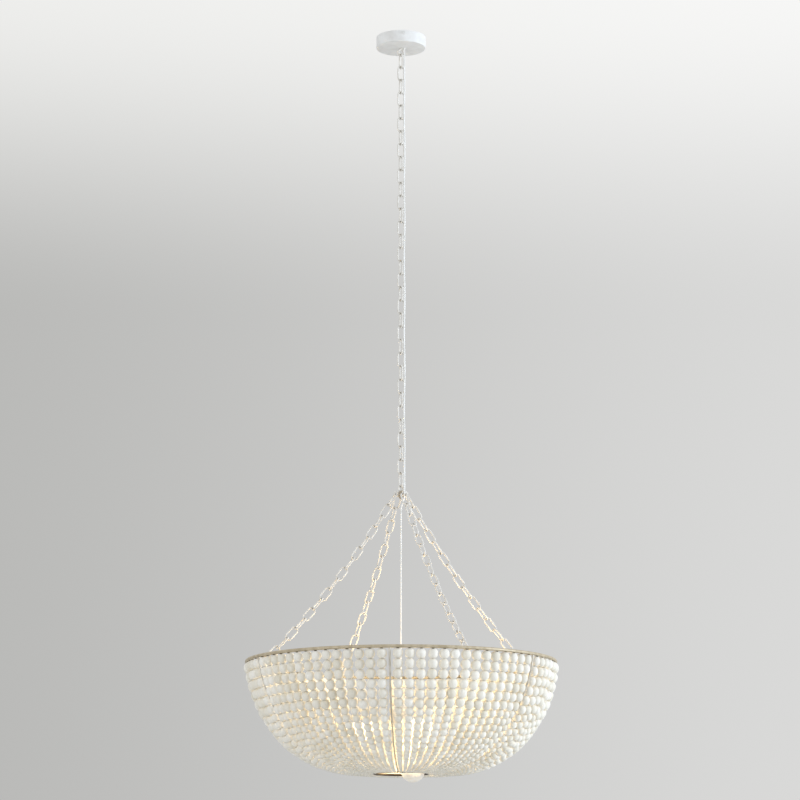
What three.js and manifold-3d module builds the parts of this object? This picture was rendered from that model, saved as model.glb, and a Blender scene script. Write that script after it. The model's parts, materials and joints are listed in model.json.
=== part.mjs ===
// Beaded bowl chandelier: a canopy on the ceiling, a link chain, a hub with four side chains,
// a bowl of graded bead strands on two rings and six ribs, and a lamp cluster on its own cord.
// Millimetres, +Z up. The origin is on the ceiling, at the middle of the mounting strap's top face.
// An azimuth is in degrees about +Z, from the front (-Y) towards +X.
import * as THREE from "three";
import { mergeVertices } from "three/addons/utils/BufferGeometryUtils.js";
import Module from "manifold-3d";

const wasm = await Module();
wasm.setup();

// Fits between neighbouring pieces
const touchGap = 0.3;
const cutOverrun = 2;
const fuseOverlap = 0.5;
const weldDistance = 1e-4;

// Turns on the ceiling, in degrees: the strap, the fixture, and the cord inside the fixture's turn
const strapAzimuth = 7;
const fixtureAzimuth = 26;
const cordAzimuth = 45;

// Mounting strap
const strapWidth = 25;
const strapThickness = 2;
const strapEndInset = 1.8;
const strapEarDrop = 16;
const strapSlotLength = 24;
const strapSlotWidth = 5;
const strapSlotOffset = 38;

// Canopy cup
const canopyRadius = 63.5;
const canopyHeight = 30;
const canopyWall = 1.2;
const canopyEdge = 1.5;
const canopyRimDrop = 0.5;

// Screws
const sideScrewDiameter = 4;
const sideScrewHead = 8;
const sideScrewHeadHeight = 2.6;
const sideScrewDrop = 8.4;
const groundScrewDiameter = 4;
const groundScrewHead = 9;
const groundScrewHeadHeight = 2.5;
const groundScrewOffset = 16;

// Canopy loop and its nut
const loopStubDiameter = 6;
const loopCollarDiameter = 8;
const loopCollarHeight = 4;
const loopRadius = 8;
const loopWire = 4.4;
const loopStubHeight = 9;
const loopNutWidth = 10;
const loopNutHeight = 4;

// Supply cord, its grommet and its terminal block
const cordDiameter = 4;
const cordOffset = 9;
const grommetBarrel = 6.6;
const grommetFlange = 8.4;
const grommetFlangeHeight = 1.2;
const terminalBlockSize = 15;
const terminalBlockHeight = 11;
const cordEyeDrop = 3;
const cordTail = 5;

// Chain links
const linkWire = 4;
const linkWidth = 21;
const mainLinkLength = 41.8;
const sideLinkLength = 41.56;
const mainLinkCount = 33;
const sideLinkCount = 16;
const sideChainSag = 15;
const linkSides = 4;
const linkSteps = 8;

// Hub
const hubEyeRadius = 6.5;
const hubSpoolDiameter = 12.6;
const hubSpoolHeight = 14;
const hubSpoolEdge = 1.4;
const hubStemDiameter = 5;
const hubNutWidth = 8;
const hubNutHeight = 3.5;
const hubSideEyeRadius = 5.5;
const hubSideEyeWire = 3.6;
const hubSideEyeDrop = 6;
const sideChainCount = 4;

// Rings and ribs of the bowl
const ringRadius = 382;
const ringBar = 8;
const bottomRingRadius = 66;
const bottomRingBar = 5.6;
const bowlDepth = 272;
const ribBar = 5;
const ribCount = 6;
const eyeletRadius = 6.5;
const eyeletWire = 4;
const eyeletInset = 21;
const eyeletDrop = 0.5;

// The strands' and the ribs' curve: its two inner points, as shares of the top radius and of the depth
const shoulderRadiusShare = 0.966;
const shoulderDepthShare = 0.365;
const kneeRadiusShare = 0.77;
const kneeDepthShare = 1.05;

// Bead strands: their stations along the curve, and those of the crowded end, where they join in one band
const strandsPerBay = 14;
const strandStationShares = [0, 0.24, 0.44, 0.61, 0.74, 0.82];
const bandStationShares = [0.8, 0.9, 1];
const strandInset = 3;
const strandRibGap = 4.5;
const strandEndRibGap = 1.2;
const largeBead = 24;
const mediumBead = 20;
const smallBead = 16;
const fineBead = 12;
const tinyBead = 10.5;
const bandStart = 13;
const bandEnd = 6;
const strandBeads = [largeBead, largeBead, mediumBead, smallBead, fineBead, tinyBead];
const strandWidthShare = 0.92;

// Supply cord below the hub, and the lamp cluster
const cordCentringDrop = 30;
const gripTopDiameter = 8;
const gripDiameter = 18;
const gripHeight = 18;
const gripSeat = 13;
const clusterDiameter = 40;
const clusterHeight = 54;
const clusterEdge = 6;
const lampDroop = 20;
const lampAzimuths = [30, 150, 270];
const armDiameter = 11;
const armLength = 6;
const socketDiameter = 37;
const socketShoulder = 5;
const socketLength = 42;
const socketBore = 31;
const socketFloor = 8;

// Bulb: screw base, neck and globe
const bulbBase = 25.6;
const bulbBaseLength = 27;
const bulbTip = 12;
const bulbTipLength = 4;
const bulbNeck = 29;
const bulbGlobe = 60;
const bulbLength = 108;

// Swivel under the cluster for the lamp that points down
const downLampLean = 18.2;
const downLampAzimuth = 90;
const pivotDrop = 13;
const forkPlateDiameter = 26;
const forkPlateHeight = 3;
const cheekThickness = 2.5;
const cheekWidth = 9;
const pivotPinDiameter = 4;
const pivotPinStickOut = 1.2;
const pivotBack = 5;
const downArmLength = 7.5;

// How far the down lamp's bulb reaches under the middle of the bottom ring
const bulbNoseDrop = 23;

// Facet counts
const cupSides = 32;
const turnedSides = 16;
const socketSides = 12;
const smallSides = 8;
const ringSteps = 48;
const ringSides = 6;
const bottomRingSteps = 30;
const eyeSteps = 10;
const ribSteps = 9;
const centringSteps = 8;
const bandSteps = 6;
const bulbSides = 12;
const globeArcSteps = 6;

const degrees = THREE.MathUtils.degToRad;
const upright = Math.PI / 2;

// Finishes
const whitePaint = { color: 0xe9e7e1, roughness: 0.45, metalness: 0.1 };
const paintedChain = { color: 0xdedbd2, roughness: 0.6, metalness: 0.2 };
const champagneMetal = { color: 0x9c8c70, roughness: 0.45, metalness: 0.8 };
const zincSteel = { color: 0xa7a9aa, roughness: 0.4, metalness: 0.9 };
const brassPlate = { color: 0xb08d4e, roughness: 0.35, metalness: 0.9 };
const washedWood = { color: 0xe6e0d3, roughness: 0.75, metalness: 0 };
const whiteCord = { color: 0xf0efea, roughness: 0.55, metalness: 0 };
const whitePlastic = { color: 0xf1eee6, roughness: 0.5, metalness: 0 };
const frostedGlass = { color: 0xfff1d6, roughness: 0.35, metalness: 0 };

// Solids from geometries, and back
function solidOf(geometry) {
  const plain = geometry.index ? geometry.toNonIndexed() : geometry.clone();
  const bare = new THREE.BufferGeometry().setAttribute("position", plain.getAttribute("position"));
  const merged = mergeVertices(bare, weldDistance);
  const corners = [];
  for (let i = 0; i < merged.index.count; i += 3) {
    const [a, b, c] = [merged.index.getX(i), merged.index.getX(i + 1), merged.index.getX(i + 2)];
    if (a !== b && b !== c && c !== a) corners.push(a, b, c);
  }
  return new wasm.Manifold(
    new wasm.Mesh({
      numProp: 3,
      vertProperties: merged.attributes.position.array,
      triVerts: new Uint32Array(corners),
    }),
  );
}

function geometryOf(solid) {
  const made = solid.getMesh();
  return new THREE.BufferGeometry()
    .setAttribute("position", new THREE.BufferAttribute(made.vertProperties, made.numProp))
    .setIndex(new THREE.BufferAttribute(made.triVerts, 1));
}

function fused(...geometries) {
  return geometryOf(geometries.map(solidOf).reduce((whole, next) => whole.add(next)));
}

function cutFrom(geometry, ...tools) {
  return geometryOf(tools.map(solidOf).reduce((whole, tool) => whole.subtract(tool), solidOf(geometry)));
}

// A point at an azimuth, a radius and a height
function polar(azimuth, radius, z) {
  const angle = degrees(azimuth);
  return new THREE.Vector3(radius * Math.sin(angle), -radius * Math.cos(angle), z);
}

// A solid turned about Z from a closed outline of [radius, height], bottom first and outwards
function turned(outline, sides) {
  const points = outline.map(([radius, z]) => new THREE.Vector2(radius, z));
  return new THREE.LatheGeometry(points, sides).rotateX(upright);
}

// A round bar along Z between two heights
function bar(diameter, low, high, sides) {
  const middle = (low + high) / 2;
  return new THREE.CylinderGeometry(diameter / 2, diameter / 2, high - low, sides)
    .rotateX(upright)
    .translate(0, 0, middle);
}

// A hexagon prism along Z, with its width across the flats
function hexagon(width, low, high) {
  return bar(width / Math.cos(Math.PI / 6), low, high, 6);
}

// A ring of wire in the XZ plane, with its radius to the wire's middle
function eye(radius, wire) {
  return new THREE.TorusGeometry(radius, wire / 2, linkSides, eyeSteps).rotateX(upright);
}

// A bar along a curve, with its ends square to it
function barAlong(curve, diameter, steps, sides) {
  const outline = new THREE.Shape();
  for (let i = 0; i < sides; i += 1) {
    const angle = (2 * Math.PI * i) / sides;
    const x = (diameter / 2) * Math.cos(angle);
    const y = (diameter / 2) * Math.sin(angle);
    if (i === 0) outline.moveTo(x, y);
    else outline.lineTo(x, y);
  }
  return new THREE.ExtrudeGeometry(outline, { steps, extrudePath: curve });
}

// A closed skin through rings of points that have equal counts
function loft(rings) {
  const sides = rings[0].length;
  const positions = rings.flat().flatMap((point) => point.toArray());
  const corners = [];
  for (let k = 0; k + 1 < rings.length; k += 1) {
    for (let i = 0; i < sides; i += 1) {
      const a = k * sides + i;
      const b = k * sides + ((i + 1) % sides);
      corners.push(a, b + sides, b, a, a + sides, b + sides);
    }
  }
  const last = (rings.length - 1) * sides;
  for (let i = 1; i + 1 < sides; i += 1) {
    corners.push(0, i, i + 1);
    corners.push(last, last + i + 1, last + i);
  }
  return new THREE.BufferGeometry()
    .setAttribute("position", new THREE.Float32BufferAttribute(positions, 3))
    .setIndex(corners);
}

// The assembly, with one named mesh for each piece
const chandelier = new THREE.Group();

function place(parent, name, geometry, finish) {
  const made = new THREE.Mesh(geometry, new THREE.MeshStandardMaterial(finish));
  made.name = name;
  parent.add(made);
  return made;
}

// Mounting strap, canopy cup and screws
const strapGroup = new THREE.Group();
strapGroup.rotation.z = degrees(strapAzimuth) - upright;
chandelier.add(strapGroup);

const canopyInner = canopyRadius - canopyWall;
const strapEnd = canopyInner - strapEndInset;
const earBottom = -strapThickness - strapEarDrop;
const screwHoleDiameter = sideScrewDiameter + 2 * touchGap;

function strapGeometry() {
  const innerEnd = strapEnd - strapThickness;
  const outline = new THREE.Shape([
    new THREE.Vector2(-strapEnd, 0),
    new THREE.Vector2(-strapEnd, earBottom),
    new THREE.Vector2(-innerEnd, earBottom),
    new THREE.Vector2(-innerEnd, -strapThickness),
    new THREE.Vector2(innerEnd, -strapThickness),
    new THREE.Vector2(innerEnd, earBottom),
    new THREE.Vector2(strapEnd, earBottom),
    new THREE.Vector2(strapEnd, 0),
  ]);
  const body = new THREE.ExtrudeGeometry(outline, { depth: strapWidth, bevelEnabled: false })
    .rotateX(upright)
    .translate(0, strapWidth / 2, 0);
  const slotDepth = strapThickness + 2 * cutOverrun;
  const slots = [-strapSlotOffset, strapSlotOffset].map((x) =>
    new THREE.BoxGeometry(strapSlotLength, strapSlotWidth, slotDepth).translate(x, 0, -strapThickness / 2),
  );
  const screwHole = bar(screwHoleDiameter, -strapEnd - cutOverrun, strapEnd + cutOverrun, smallSides)
    .rotateY(upright)
    .translate(0, 0, -sideScrewDrop);
  const groundBore = groundScrewDiameter + 2 * touchGap;
  const groundHole = bar(groundBore, -strapThickness - cutOverrun, cutOverrun, smallSides)
    .translate(-groundScrewOffset, 0, 0);
  return cutFrom(body, ...slots, screwHole, groundHole);
}
place(strapGroup, "mounting_strap", strapGeometry(), zincSteel);

const canopyBottom = -canopyHeight;
const cordHole = grommetBarrel + 2 * touchGap;
const cordPlace = polar(cordAzimuth, cordOffset, 0);

function canopyGeometry() {
  const stubHole = loopStubDiameter / 2 + touchGap;
  const floor = canopyBottom + canopyWall;
  const cup = turned(
    [
      [stubHole, canopyBottom],
      [canopyRadius - canopyEdge, canopyBottom],
      [canopyRadius, canopyBottom + canopyEdge],
      [canopyRadius, -canopyRimDrop],
      [canopyInner, -canopyRimDrop],
      [canopyInner, floor],
      [stubHole, floor],
      [stubHole, canopyBottom],
    ],
    cupSides,
  );
  const holeReach = canopyRadius + cutOverrun;
  const screwHoles = bar(screwHoleDiameter, -holeReach, holeReach, smallSides)
    .rotateY(upright)
    .rotateZ(strapGroup.rotation.z - degrees(fixtureAzimuth))
    .translate(0, 0, -sideScrewDrop);
  const grommetHole = bar(cordHole, canopyBottom - cutOverrun, floor + cutOverrun, smallSides)
    .translate(cordPlace.x, cordPlace.y, 0);
  return cutFrom(cup, screwHoles, grommetHole);
}

const fixture = new THREE.Group();
fixture.rotation.z = degrees(fixtureAzimuth);
chandelier.add(fixture);
place(fixture, "canopy_cup", canopyGeometry(), whitePaint);

function screwGeometry(diameter, length, head, headHeight) {
  return turned(
    [
      [0, 0],
      [diameter / 2, 0],
      [diameter / 2, length],
      [head / 2, length],
      [head / 2, length + headHeight / 2],
      [head / 2 - headHeight / 2, length + headHeight],
      [0, length + headHeight],
    ],
    smallSides,
  );
}

const sideScrewStart = strapEnd - strapThickness - touchGap;
const sideScrewLength = canopyRadius + touchGap - sideScrewStart;
for (const [name, side] of [["canopy_screw_front", 1], ["canopy_screw_back", -1]]) {
  const shape = screwGeometry(sideScrewDiameter, sideScrewLength, sideScrewHead, sideScrewHeadHeight);
  const screw = place(strapGroup, name, shape, whitePaint);
  screw.position.set(side * sideScrewStart, 0, -sideScrewDrop);
  screw.rotation.y = side * upright;
}

const groundScrewShape = screwGeometry(
  groundScrewDiameter,
  strapThickness,
  groundScrewHead,
  groundScrewHeadHeight,
);
const groundScrew = place(strapGroup, "ground_screw", groundScrewShape, brassPlate);
groundScrew.rotation.x = Math.PI;
groundScrew.position.set(-groundScrewOffset, 0, -touchGap);

// Canopy loop: a ring under a collar, with a threaded stub through the cup and a nut on it
const collarTop = canopyBottom - touchGap;
const collarBottom = collarTop - loopCollarHeight;
const loopMiddle = collarBottom - loopRadius;
const loopSeat = loopMiddle - loopRadius;

function loopGeometry() {
  const stub = bar(loopStubDiameter, collarTop - fuseOverlap, collarTop + loopStubHeight, smallSides);
  const collar = bar(loopCollarDiameter, collarBottom - fuseOverlap, collarTop, smallSides);
  const ring = eye(loopRadius, loopWire).translate(0, 0, loopMiddle);
  return fused(collar, stub, ring);
}
place(fixture, "canopy_loop", loopGeometry(), paintedChain);

const nutBottom = canopyBottom + canopyWall + touchGap;
const nutBore = bar(
  loopStubDiameter + 2 * touchGap,
  nutBottom - cutOverrun,
  nutBottom + loopNutHeight + cutOverrun,
  smallSides,
);
const nutShape = cutFrom(hexagon(loopNutWidth, nutBottom, nutBottom + loopNutHeight), nutBore);
place(fixture, "canopy_nut", nutShape, zincSteel);

// Grommet in the cup's floor, and the terminal block under the strap
const cordClear = cordDiameter / 2 + touchGap;
const grommetTop = canopyBottom + canopyWall;
const grommetShape = turned(
  [
    [cordClear, canopyBottom - touchGap - grommetFlangeHeight],
    [grommetFlange / 2, canopyBottom - touchGap - grommetFlangeHeight],
    [grommetFlange / 2, canopyBottom - touchGap],
    [grommetBarrel / 2, canopyBottom - touchGap],
    [grommetBarrel / 2, grommetTop],
    [cordClear, grommetTop],
    [cordClear, canopyBottom - touchGap - grommetFlangeHeight],
  ],
  smallSides,
).translate(cordPlace.x, cordPlace.y, 0);
place(fixture, "cord_grommet", grommetShape, whitePlastic);

const blockTop = -strapThickness - touchGap;
const blockBottom = blockTop - terminalBlockHeight;
const blockShape = new THREE.BoxGeometry(terminalBlockSize, terminalBlockSize, terminalBlockHeight)
  .translate(cordPlace.x, cordPlace.y, (blockTop + blockBottom) / 2);
place(fixture, "terminal_block", blockShape, whitePlastic);

// One oval link in the XZ plane, its long axis along Z
function linkGeometry(length) {
  const bend = (linkWidth - linkWire) / 2;
  const reach = (length - linkWidth) / 2;
  const radius = bend / Math.cos(Math.PI / linkSteps);
  const link = new THREE.TorusGeometry(radius, linkWire / 2, linkSides, linkSteps);
  link.rotateZ(Math.PI / linkSteps);
  const at = link.getAttribute("position");
  for (let i = 0; i < at.count; i += 1) at.setY(i, at.getY(i) + Math.sign(at.getY(i)) * reach);
  return link.rotateX(upright);
}

// The distance from a link's top wire to its bottom wire, and from one link to the next in a run
function spanOf(length) {
  return length - linkWire;
}

function pitchOf(length) {
  return spanOf(length) - linkWire + fuseOverlap;
}

// The places of a run's links below its start. The sag is towards -X, the end is the lowest wire's middle.
function runPlaces(count, length, sag) {
  const lean = Math.atan2(4 * sag, count * pitchOf(length));
  const start = new THREE.Vector3();
  const end = new THREE.Vector3();
  const places = [];
  for (let i = 0; i < count; i += 1) {
    const tilt = lean * (1 - (2 * i) / Math.max(1, count - 1));
    const ahead = new THREE.Vector3(-Math.sin(tilt), 0, -Math.cos(tilt));
    places.push({ tilt, middle: start.clone().addScaledVector(ahead, spanOf(length) / 2) });
    end.copy(start).addScaledVector(ahead, spanOf(length));
    start.addScaledVector(ahead, pitchOf(length));
  }
  return { places, end };
}

// A run of fused links, every second one turned a quarter
function chainRun(count, length, firstTurned, sag = 0) {
  const links = runPlaces(count, length, sag).places.map(({ tilt, middle }, i) => {
    const link = linkGeometry(length);
    if ((i % 2 === 0) === firstTurned) link.rotateZ(upright);
    return link.rotateY(tilt).translate(middle.x, middle.y, middle.z);
  });
  return fused(...links);
}

// Main chain: the top and the lowest link swing on their own, the run between them is one piece
const linkClear = linkWire + touchGap;
const topLinkTop = loopSeat + (loopWire + linkWire) / 2 + touchGap;
const mainSpan = spanOf(mainLinkLength);
const topLinkSeat = topLinkTop - mainSpan;
const mainTop = topLinkSeat + linkClear;
const mainRunCount = mainLinkCount - 2;
const mainSeat = mainTop - mainSpan - (mainRunCount - 1) * pitchOf(mainLinkLength);
const lowLinkTop = mainSeat + linkClear;
const lowLinkSeat = lowLinkTop - mainSpan;
const topLinkShape = chainRun(1, mainLinkLength, true);
const mainChainShape = chainRun(mainRunCount, mainLinkLength, false);
const bottomLinkShape = chainRun(1, mainLinkLength, mainLinkCount % 2 === 1);

place(fixture, "top_link", topLinkShape.translate(0, 0, topLinkTop), paintedChain);
place(fixture, "main_chain", mainChainShape.translate(0, 0, mainTop), paintedChain);
place(fixture, "bottom_link", bottomLinkShape.translate(0, 0, lowLinkTop), paintedChain);

// Hub: an eye on a stem, a spool with four side eyes, and the nut that holds them together
const hubEyeTop = lowLinkSeat + linkClear;
const hubEyeMiddle = hubEyeTop - hubEyeRadius;
const spoolTop = hubEyeMiddle - hubEyeRadius - linkWire / 2 - touchGap;
const spoolBottom = spoolTop - hubSpoolHeight;
const hubNutTop = spoolBottom - touchGap;
const hubNutBottom = hubNutTop - hubNutHeight;
const stemBore = hubStemDiameter + 2 * touchGap;
const sideEyePlace = (hubSpoolDiameter + hubSideEyeWire) / 2 + hubSideEyeRadius - fuseOverlap;
const sideEyeHeight = spoolTop - hubSideEyeDrop;

const hubStem = bar(hubStemDiameter, hubNutBottom, hubEyeMiddle - hubEyeRadius, smallSides);
const hubRing = eye(hubEyeRadius, linkWire).translate(0, 0, hubEyeMiddle);
place(fixture, "hub_eye", fused(hubStem, hubRing), champagneMetal);

function spoolGeometry() {
  const radius = hubSpoolDiameter / 2;
  const spool = turned(
    [
      [0, spoolBottom],
      [radius - hubSpoolEdge, spoolBottom],
      [radius, spoolBottom + hubSpoolEdge],
      [radius, spoolTop - hubSpoolEdge],
      [radius - hubSpoolEdge, spoolTop],
      [0, spoolTop],
    ],
    turnedSides,
  );
  const eyes = [];
  for (let k = 0; k < sideChainCount; k += 1) {
    const side = eye(hubSideEyeRadius, hubSideEyeWire)
      .translate(sideEyePlace, 0, sideEyeHeight)
      .rotateZ((k * 2 * Math.PI) / sideChainCount);
    eyes.push(side);
  }
  const spoolHole = bar(stemBore, spoolBottom - cutOverrun, spoolTop + cutOverrun, smallSides);
  return cutFrom(fused(spool, ...eyes), spoolHole);
}
place(fixture, "hub_spool", spoolGeometry(), champagneMetal);

const hubNutBore = bar(stemBore, hubNutBottom - cutOverrun, hubNutTop + cutOverrun, smallSides);
const hubNutShape = cutFrom(hexagon(hubNutWidth, hubNutBottom, hubNutTop), hubNutBore);
place(fixture, "hub_nut", hubNutShape, champagneMetal);

// Side chains: the distance from a hub eye's middle to the eyelet's held wire follows from the links.
// It sets the ring's height.
const hubEyeSlack = hubSideEyeRadius - (hubSideEyeWire + linkWire) / 2 - touchGap;
const eyeletClear = (eyeletWire + linkWire) / 2 + touchGap;
const sideRunEnd = runPlaces(sideLinkCount, sideLinkLength, sideChainSag).end;
const holdDistance = hubEyeSlack + sideRunEnd.length() - eyeletClear;
const eyeletPlace = ringRadius - eyeletInset;
const heldPlace = eyeletPlace - eyeletRadius;
const sideReach = heldPlace - sideEyePlace;
const sideDrop = Math.sqrt(holdDistance ** 2 - sideReach ** 2);
const sideSlope = Math.atan2(sideReach, sideDrop);
const runLean = Math.atan2(sideRunEnd.x, -sideRunEnd.z);
const eyeletHeight = sideEyeHeight - sideDrop;
const ringHeight = eyeletHeight + eyeletDrop;

const sideChainShape = chainRun(sideLinkCount, sideLinkLength, true, sideChainSag);
for (let k = 0; k < sideChainCount; k += 1) {
  const quarter = new THREE.Group();
  quarter.rotation.z = (k * 2 * Math.PI) / sideChainCount;
  fixture.add(quarter);
  const chain = place(quarter, `side_chain_${k + 1}`, sideChainShape, paintedChain);
  chain.rotation.y = runLean - sideSlope;
  chain.position.set(
    sideEyePlace + hubEyeSlack * Math.sin(sideSlope),
    0,
    sideEyeHeight - hubEyeSlack * Math.cos(sideSlope),
  );
}

// Eyelets on the ring's inside, each a flat ring of wire on a short shank
const shankSlope = Math.atan2(eyeletDrop, eyeletInset);
const shankEnd = Math.hypot(eyeletDrop, eyeletInset) - ringBar / 2 - touchGap;
const shank = bar(eyeletWire, eyeletRadius, shankEnd, smallSides).rotateY(upright - shankSlope);
const eyeletShape = fused(eye(eyeletRadius, eyeletWire).rotateX(upright), shank);
for (let k = 0; k < sideChainCount; k += 1) {
  const quarter = new THREE.Group();
  quarter.rotation.z = (k * 2 * Math.PI) / sideChainCount;
  fixture.add(quarter);
  const eyelet = place(quarter, `ring_eyelet_${k + 1}`, eyeletShape, champagneMetal);
  eyelet.position.set(eyeletPlace, 0, eyeletHeight);
}

// Top ring, bottom ring and ribs
const bottomRingHeight = ringHeight - bowlDepth;
const ringShape = new THREE.TorusGeometry(ringRadius, ringBar / 2, ringSides, ringSteps);
place(fixture, "top_ring", ringShape.translate(0, 0, ringHeight), champagneMetal);
const bottomRingThick = bottomRingBar / 2;
const bottomRingShape = new THREE.TorusGeometry(bottomRingRadius, bottomRingThick, ringSides, bottomRingSteps);
place(fixture, "bottom_ring", bottomRingShape.translate(0, 0, bottomRingHeight), champagneMetal);

// The strands' and the ribs' curve in the plane of radius and height
const hangTop = ringHeight - ringBar / 2 - touchGap;
const hangEnd = bottomRingRadius + bottomRingBar / 2 + fuseOverlap;
const hangDepth = hangTop - bottomRingHeight;

function hangCurve(topRadius) {
  return new THREE.CubicBezierCurve3(
    new THREE.Vector3(topRadius, 0, hangTop),
    new THREE.Vector3(topRadius * shoulderRadiusShare, 0, hangTop - shoulderDepthShare * hangDepth),
    new THREE.Vector3(topRadius * kneeRadiusShare, 0, hangTop - kneeDepthShare * hangDepth),
    new THREE.Vector3(hangEnd, 0, bottomRingHeight),
  );
}

const ribShape = barAlong(hangCurve(ringRadius), ribBar, ribSteps, linkSides);
for (let k = 0; k < ribCount; k += 1) {
  const rib = place(fixture, `rib_${k + 1}`, ribShape, champagneMetal);
  rib.rotation.z = (k * 2 * Math.PI) / ribCount;
}

// A strand is one tapering bar of its beads' size. Near the bottom ring the strands join in one band.
const strandCurve = hangCurve(ringRadius - strandInset);
const bayAngle = (2 * Math.PI) / ribCount;
const axis = new THREE.Vector3(0, 0, 1);

// A point of a bay: its share of the curve, its offset outwards and sideways, its place across the strands
function bayPoint(share, bead, outward, sideways, across) {
  const point = strandCurve.getPointAt(share);
  const along = strandCurve.getTangentAt(share);
  const ribClear = strandRibGap + (strandEndRibGap - strandRibGap) * share;
  const edge = Math.asin((ribBar / 2 + bead / 2 + ribClear) / point.x);
  point.x -= outward * along.z;
  point.z += outward * along.x;
  point.y += sideways;
  return point.applyAxisAngle(axis, edge + (bayAngle - 2 * edge) * across);
}

function strandGeometry(across) {
  const rings = strandStationShares.map((share, station) => {
    const bead = strandBeads[station];
    const deep = bead / 2;
    const wide = strandWidthShare * deep;
    const sides = [[deep, -wide], [deep, wide], [-deep, wide], [-deep, -wide]];
    return sides.map(([outward, sideways]) => bayPoint(share, bead, outward, sideways, across));
  });
  return loft(rings);
}

function bandGeometry() {
  const [start] = bandStationShares;
  const rings = [];
  for (let i = 0; i <= bandSteps; i += 1) {
    const across = i / bandSteps;
    const [inner, outer] = [-1, 1].map((side) =>
      bandStationShares.map((share) => {
        const thickness = bandStart + ((bandEnd - bandStart) * (share - start)) / (1 - start);
        return bayPoint(share, thickness, (side * thickness) / 2, (across - 1 / 2) * thickness, across);
      }),
    );
    rings.push([...inner, ...outer.reverse()]);
  }
  return loft(rings);
}

function panelGeometry() {
  const strands = [];
  for (let index = 0; index < strandsPerBay; index += 1) {
    strands.push(strandGeometry(index / (strandsPerBay - 1)));
  }
  return fused(bandGeometry(), ...strands);
}

const panelShape = panelGeometry();
for (let k = 0; k < ribCount; k += 1) {
  const panel = place(fixture, `bead_panel_${k + 1}`, panelShape, washedWood);
  panel.rotation.z = k * bayAngle;
}

// Supply cord from the terminal block down beside the chain, past the hub and to the axis
function straightCord(name, high, low) {
  const shape = bar(cordDiameter, low, high, smallSides).translate(cordPlace.x, cordPlace.y, 0);
  place(fixture, name, shape, whiteCord);
}

const cordLeave = collarBottom;
const cordTopMiddle = topLinkTop - mainSpan / 2;
const cordChainTop = mainTop - mainSpan / 2;
const cordChainBottom = mainSeat + mainSpan / 2;
const cordLowMiddle = lowLinkTop - mainSpan / 2;
const cordEyeMiddle = hubEyeMiddle - cordEyeDrop;
const cordHubTop = spoolTop - cordTail;
const cordHubBottom = spoolBottom - cordTail;
const cordCentred = cordHubBottom - cordCentringDrop;
straightCord("cord_in_canopy", blockBottom - touchGap, cordLeave);
straightCord("cord_bend_1", cordLeave - touchGap, cordTopMiddle);
straightCord("cord_bend_2", cordTopMiddle - touchGap, cordChainTop);
straightCord("cord_on_chain", cordChainTop - touchGap, cordChainBottom);
straightCord("cord_bend_3", cordChainBottom - touchGap, cordLowMiddle);
straightCord("cord_bend_4", cordLowMiddle - touchGap, cordEyeMiddle);
straightCord("cord_bend_5", cordEyeMiddle - touchGap, cordHubTop);

const centring = new THREE.CubicBezierCurve3(
  new THREE.Vector3(cordPlace.x, cordPlace.y, cordHubTop - touchGap),
  new THREE.Vector3(cordPlace.x, cordPlace.y, cordHubBottom - cordCentringDrop / 3),
  new THREE.Vector3(0, 0, cordHubBottom - cordCentringDrop / 3),
  new THREE.Vector3(0, 0, cordCentred),
);
place(fixture, "cord_at_hub", barAlong(centring, cordDiameter, centringSteps, smallSides), whiteCord);

// Lamp cluster, hung on the cord
const lamps = new THREE.Group();
chandelier.add(lamps);
const bulbSeat = socketFloor + touchGap;
const downReach = downArmLength + bulbSeat + bulbLength - bulbGlobe / 2;
const downGlobeMiddle = bottomRingHeight - bulbNoseDrop + bulbGlobe / 2;
const pivotHeight = downGlobeMiddle + downReach * Math.cos(degrees(downLampLean));
const clusterBottom = pivotHeight + pivotDrop;
const clusterTop = clusterBottom + clusterHeight;
const gripBottom = clusterTop + touchGap;
const gripTop = gripBottom + gripHeight;
const cordEnd = gripTop - gripSeat;
place(lamps, "cord_to_lamps", bar(cordDiameter, cordEnd, cordCentred - touchGap, smallSides), whiteCord);

const gripShape = turned(
  [
    [0, gripBottom],
    [gripDiameter / 2, gripBottom],
    [gripDiameter / 2, gripBottom + gripHeight / 3],
    [gripTopDiameter / 2, gripTop],
    [cordClear, gripTop],
    [cordClear, cordEnd - touchGap],
    [0, cordEnd - touchGap],
  ],
  smallSides,
);
place(lamps, "cord_grip", gripShape, whitePlastic);

const clusterRadius = clusterDiameter / 2;
const clusterShape = turned(
  [
    [0, clusterBottom],
    [clusterRadius - clusterEdge, clusterBottom],
    [clusterRadius, clusterBottom + clusterEdge],
    [clusterRadius, clusterTop - clusterEdge],
    [clusterRadius - clusterEdge, clusterTop],
    [0, clusterTop],
  ],
  turnedSides,
);
place(lamps, "lamp_cluster_body", clusterShape, whitePaint);

// A lamp's socket along +Z: its arm from the start to the cup
function socketGeometry(armStart, cupStart) {
  const cupEnd = cupStart + socketLength;
  return turned(
    [
      [0, armStart],
      [armDiameter / 2, armStart],
      [armDiameter / 2, cupStart],
      [socketDiameter / 2 - socketShoulder, cupStart],
      [socketDiameter / 2, cupStart + socketShoulder],
      [socketDiameter / 2, cupEnd],
      [socketBore / 2, cupEnd],
      [socketBore / 2, cupStart + socketFloor],
      [0, cupStart + socketFloor],
    ],
    socketSides,
  );
}

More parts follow.
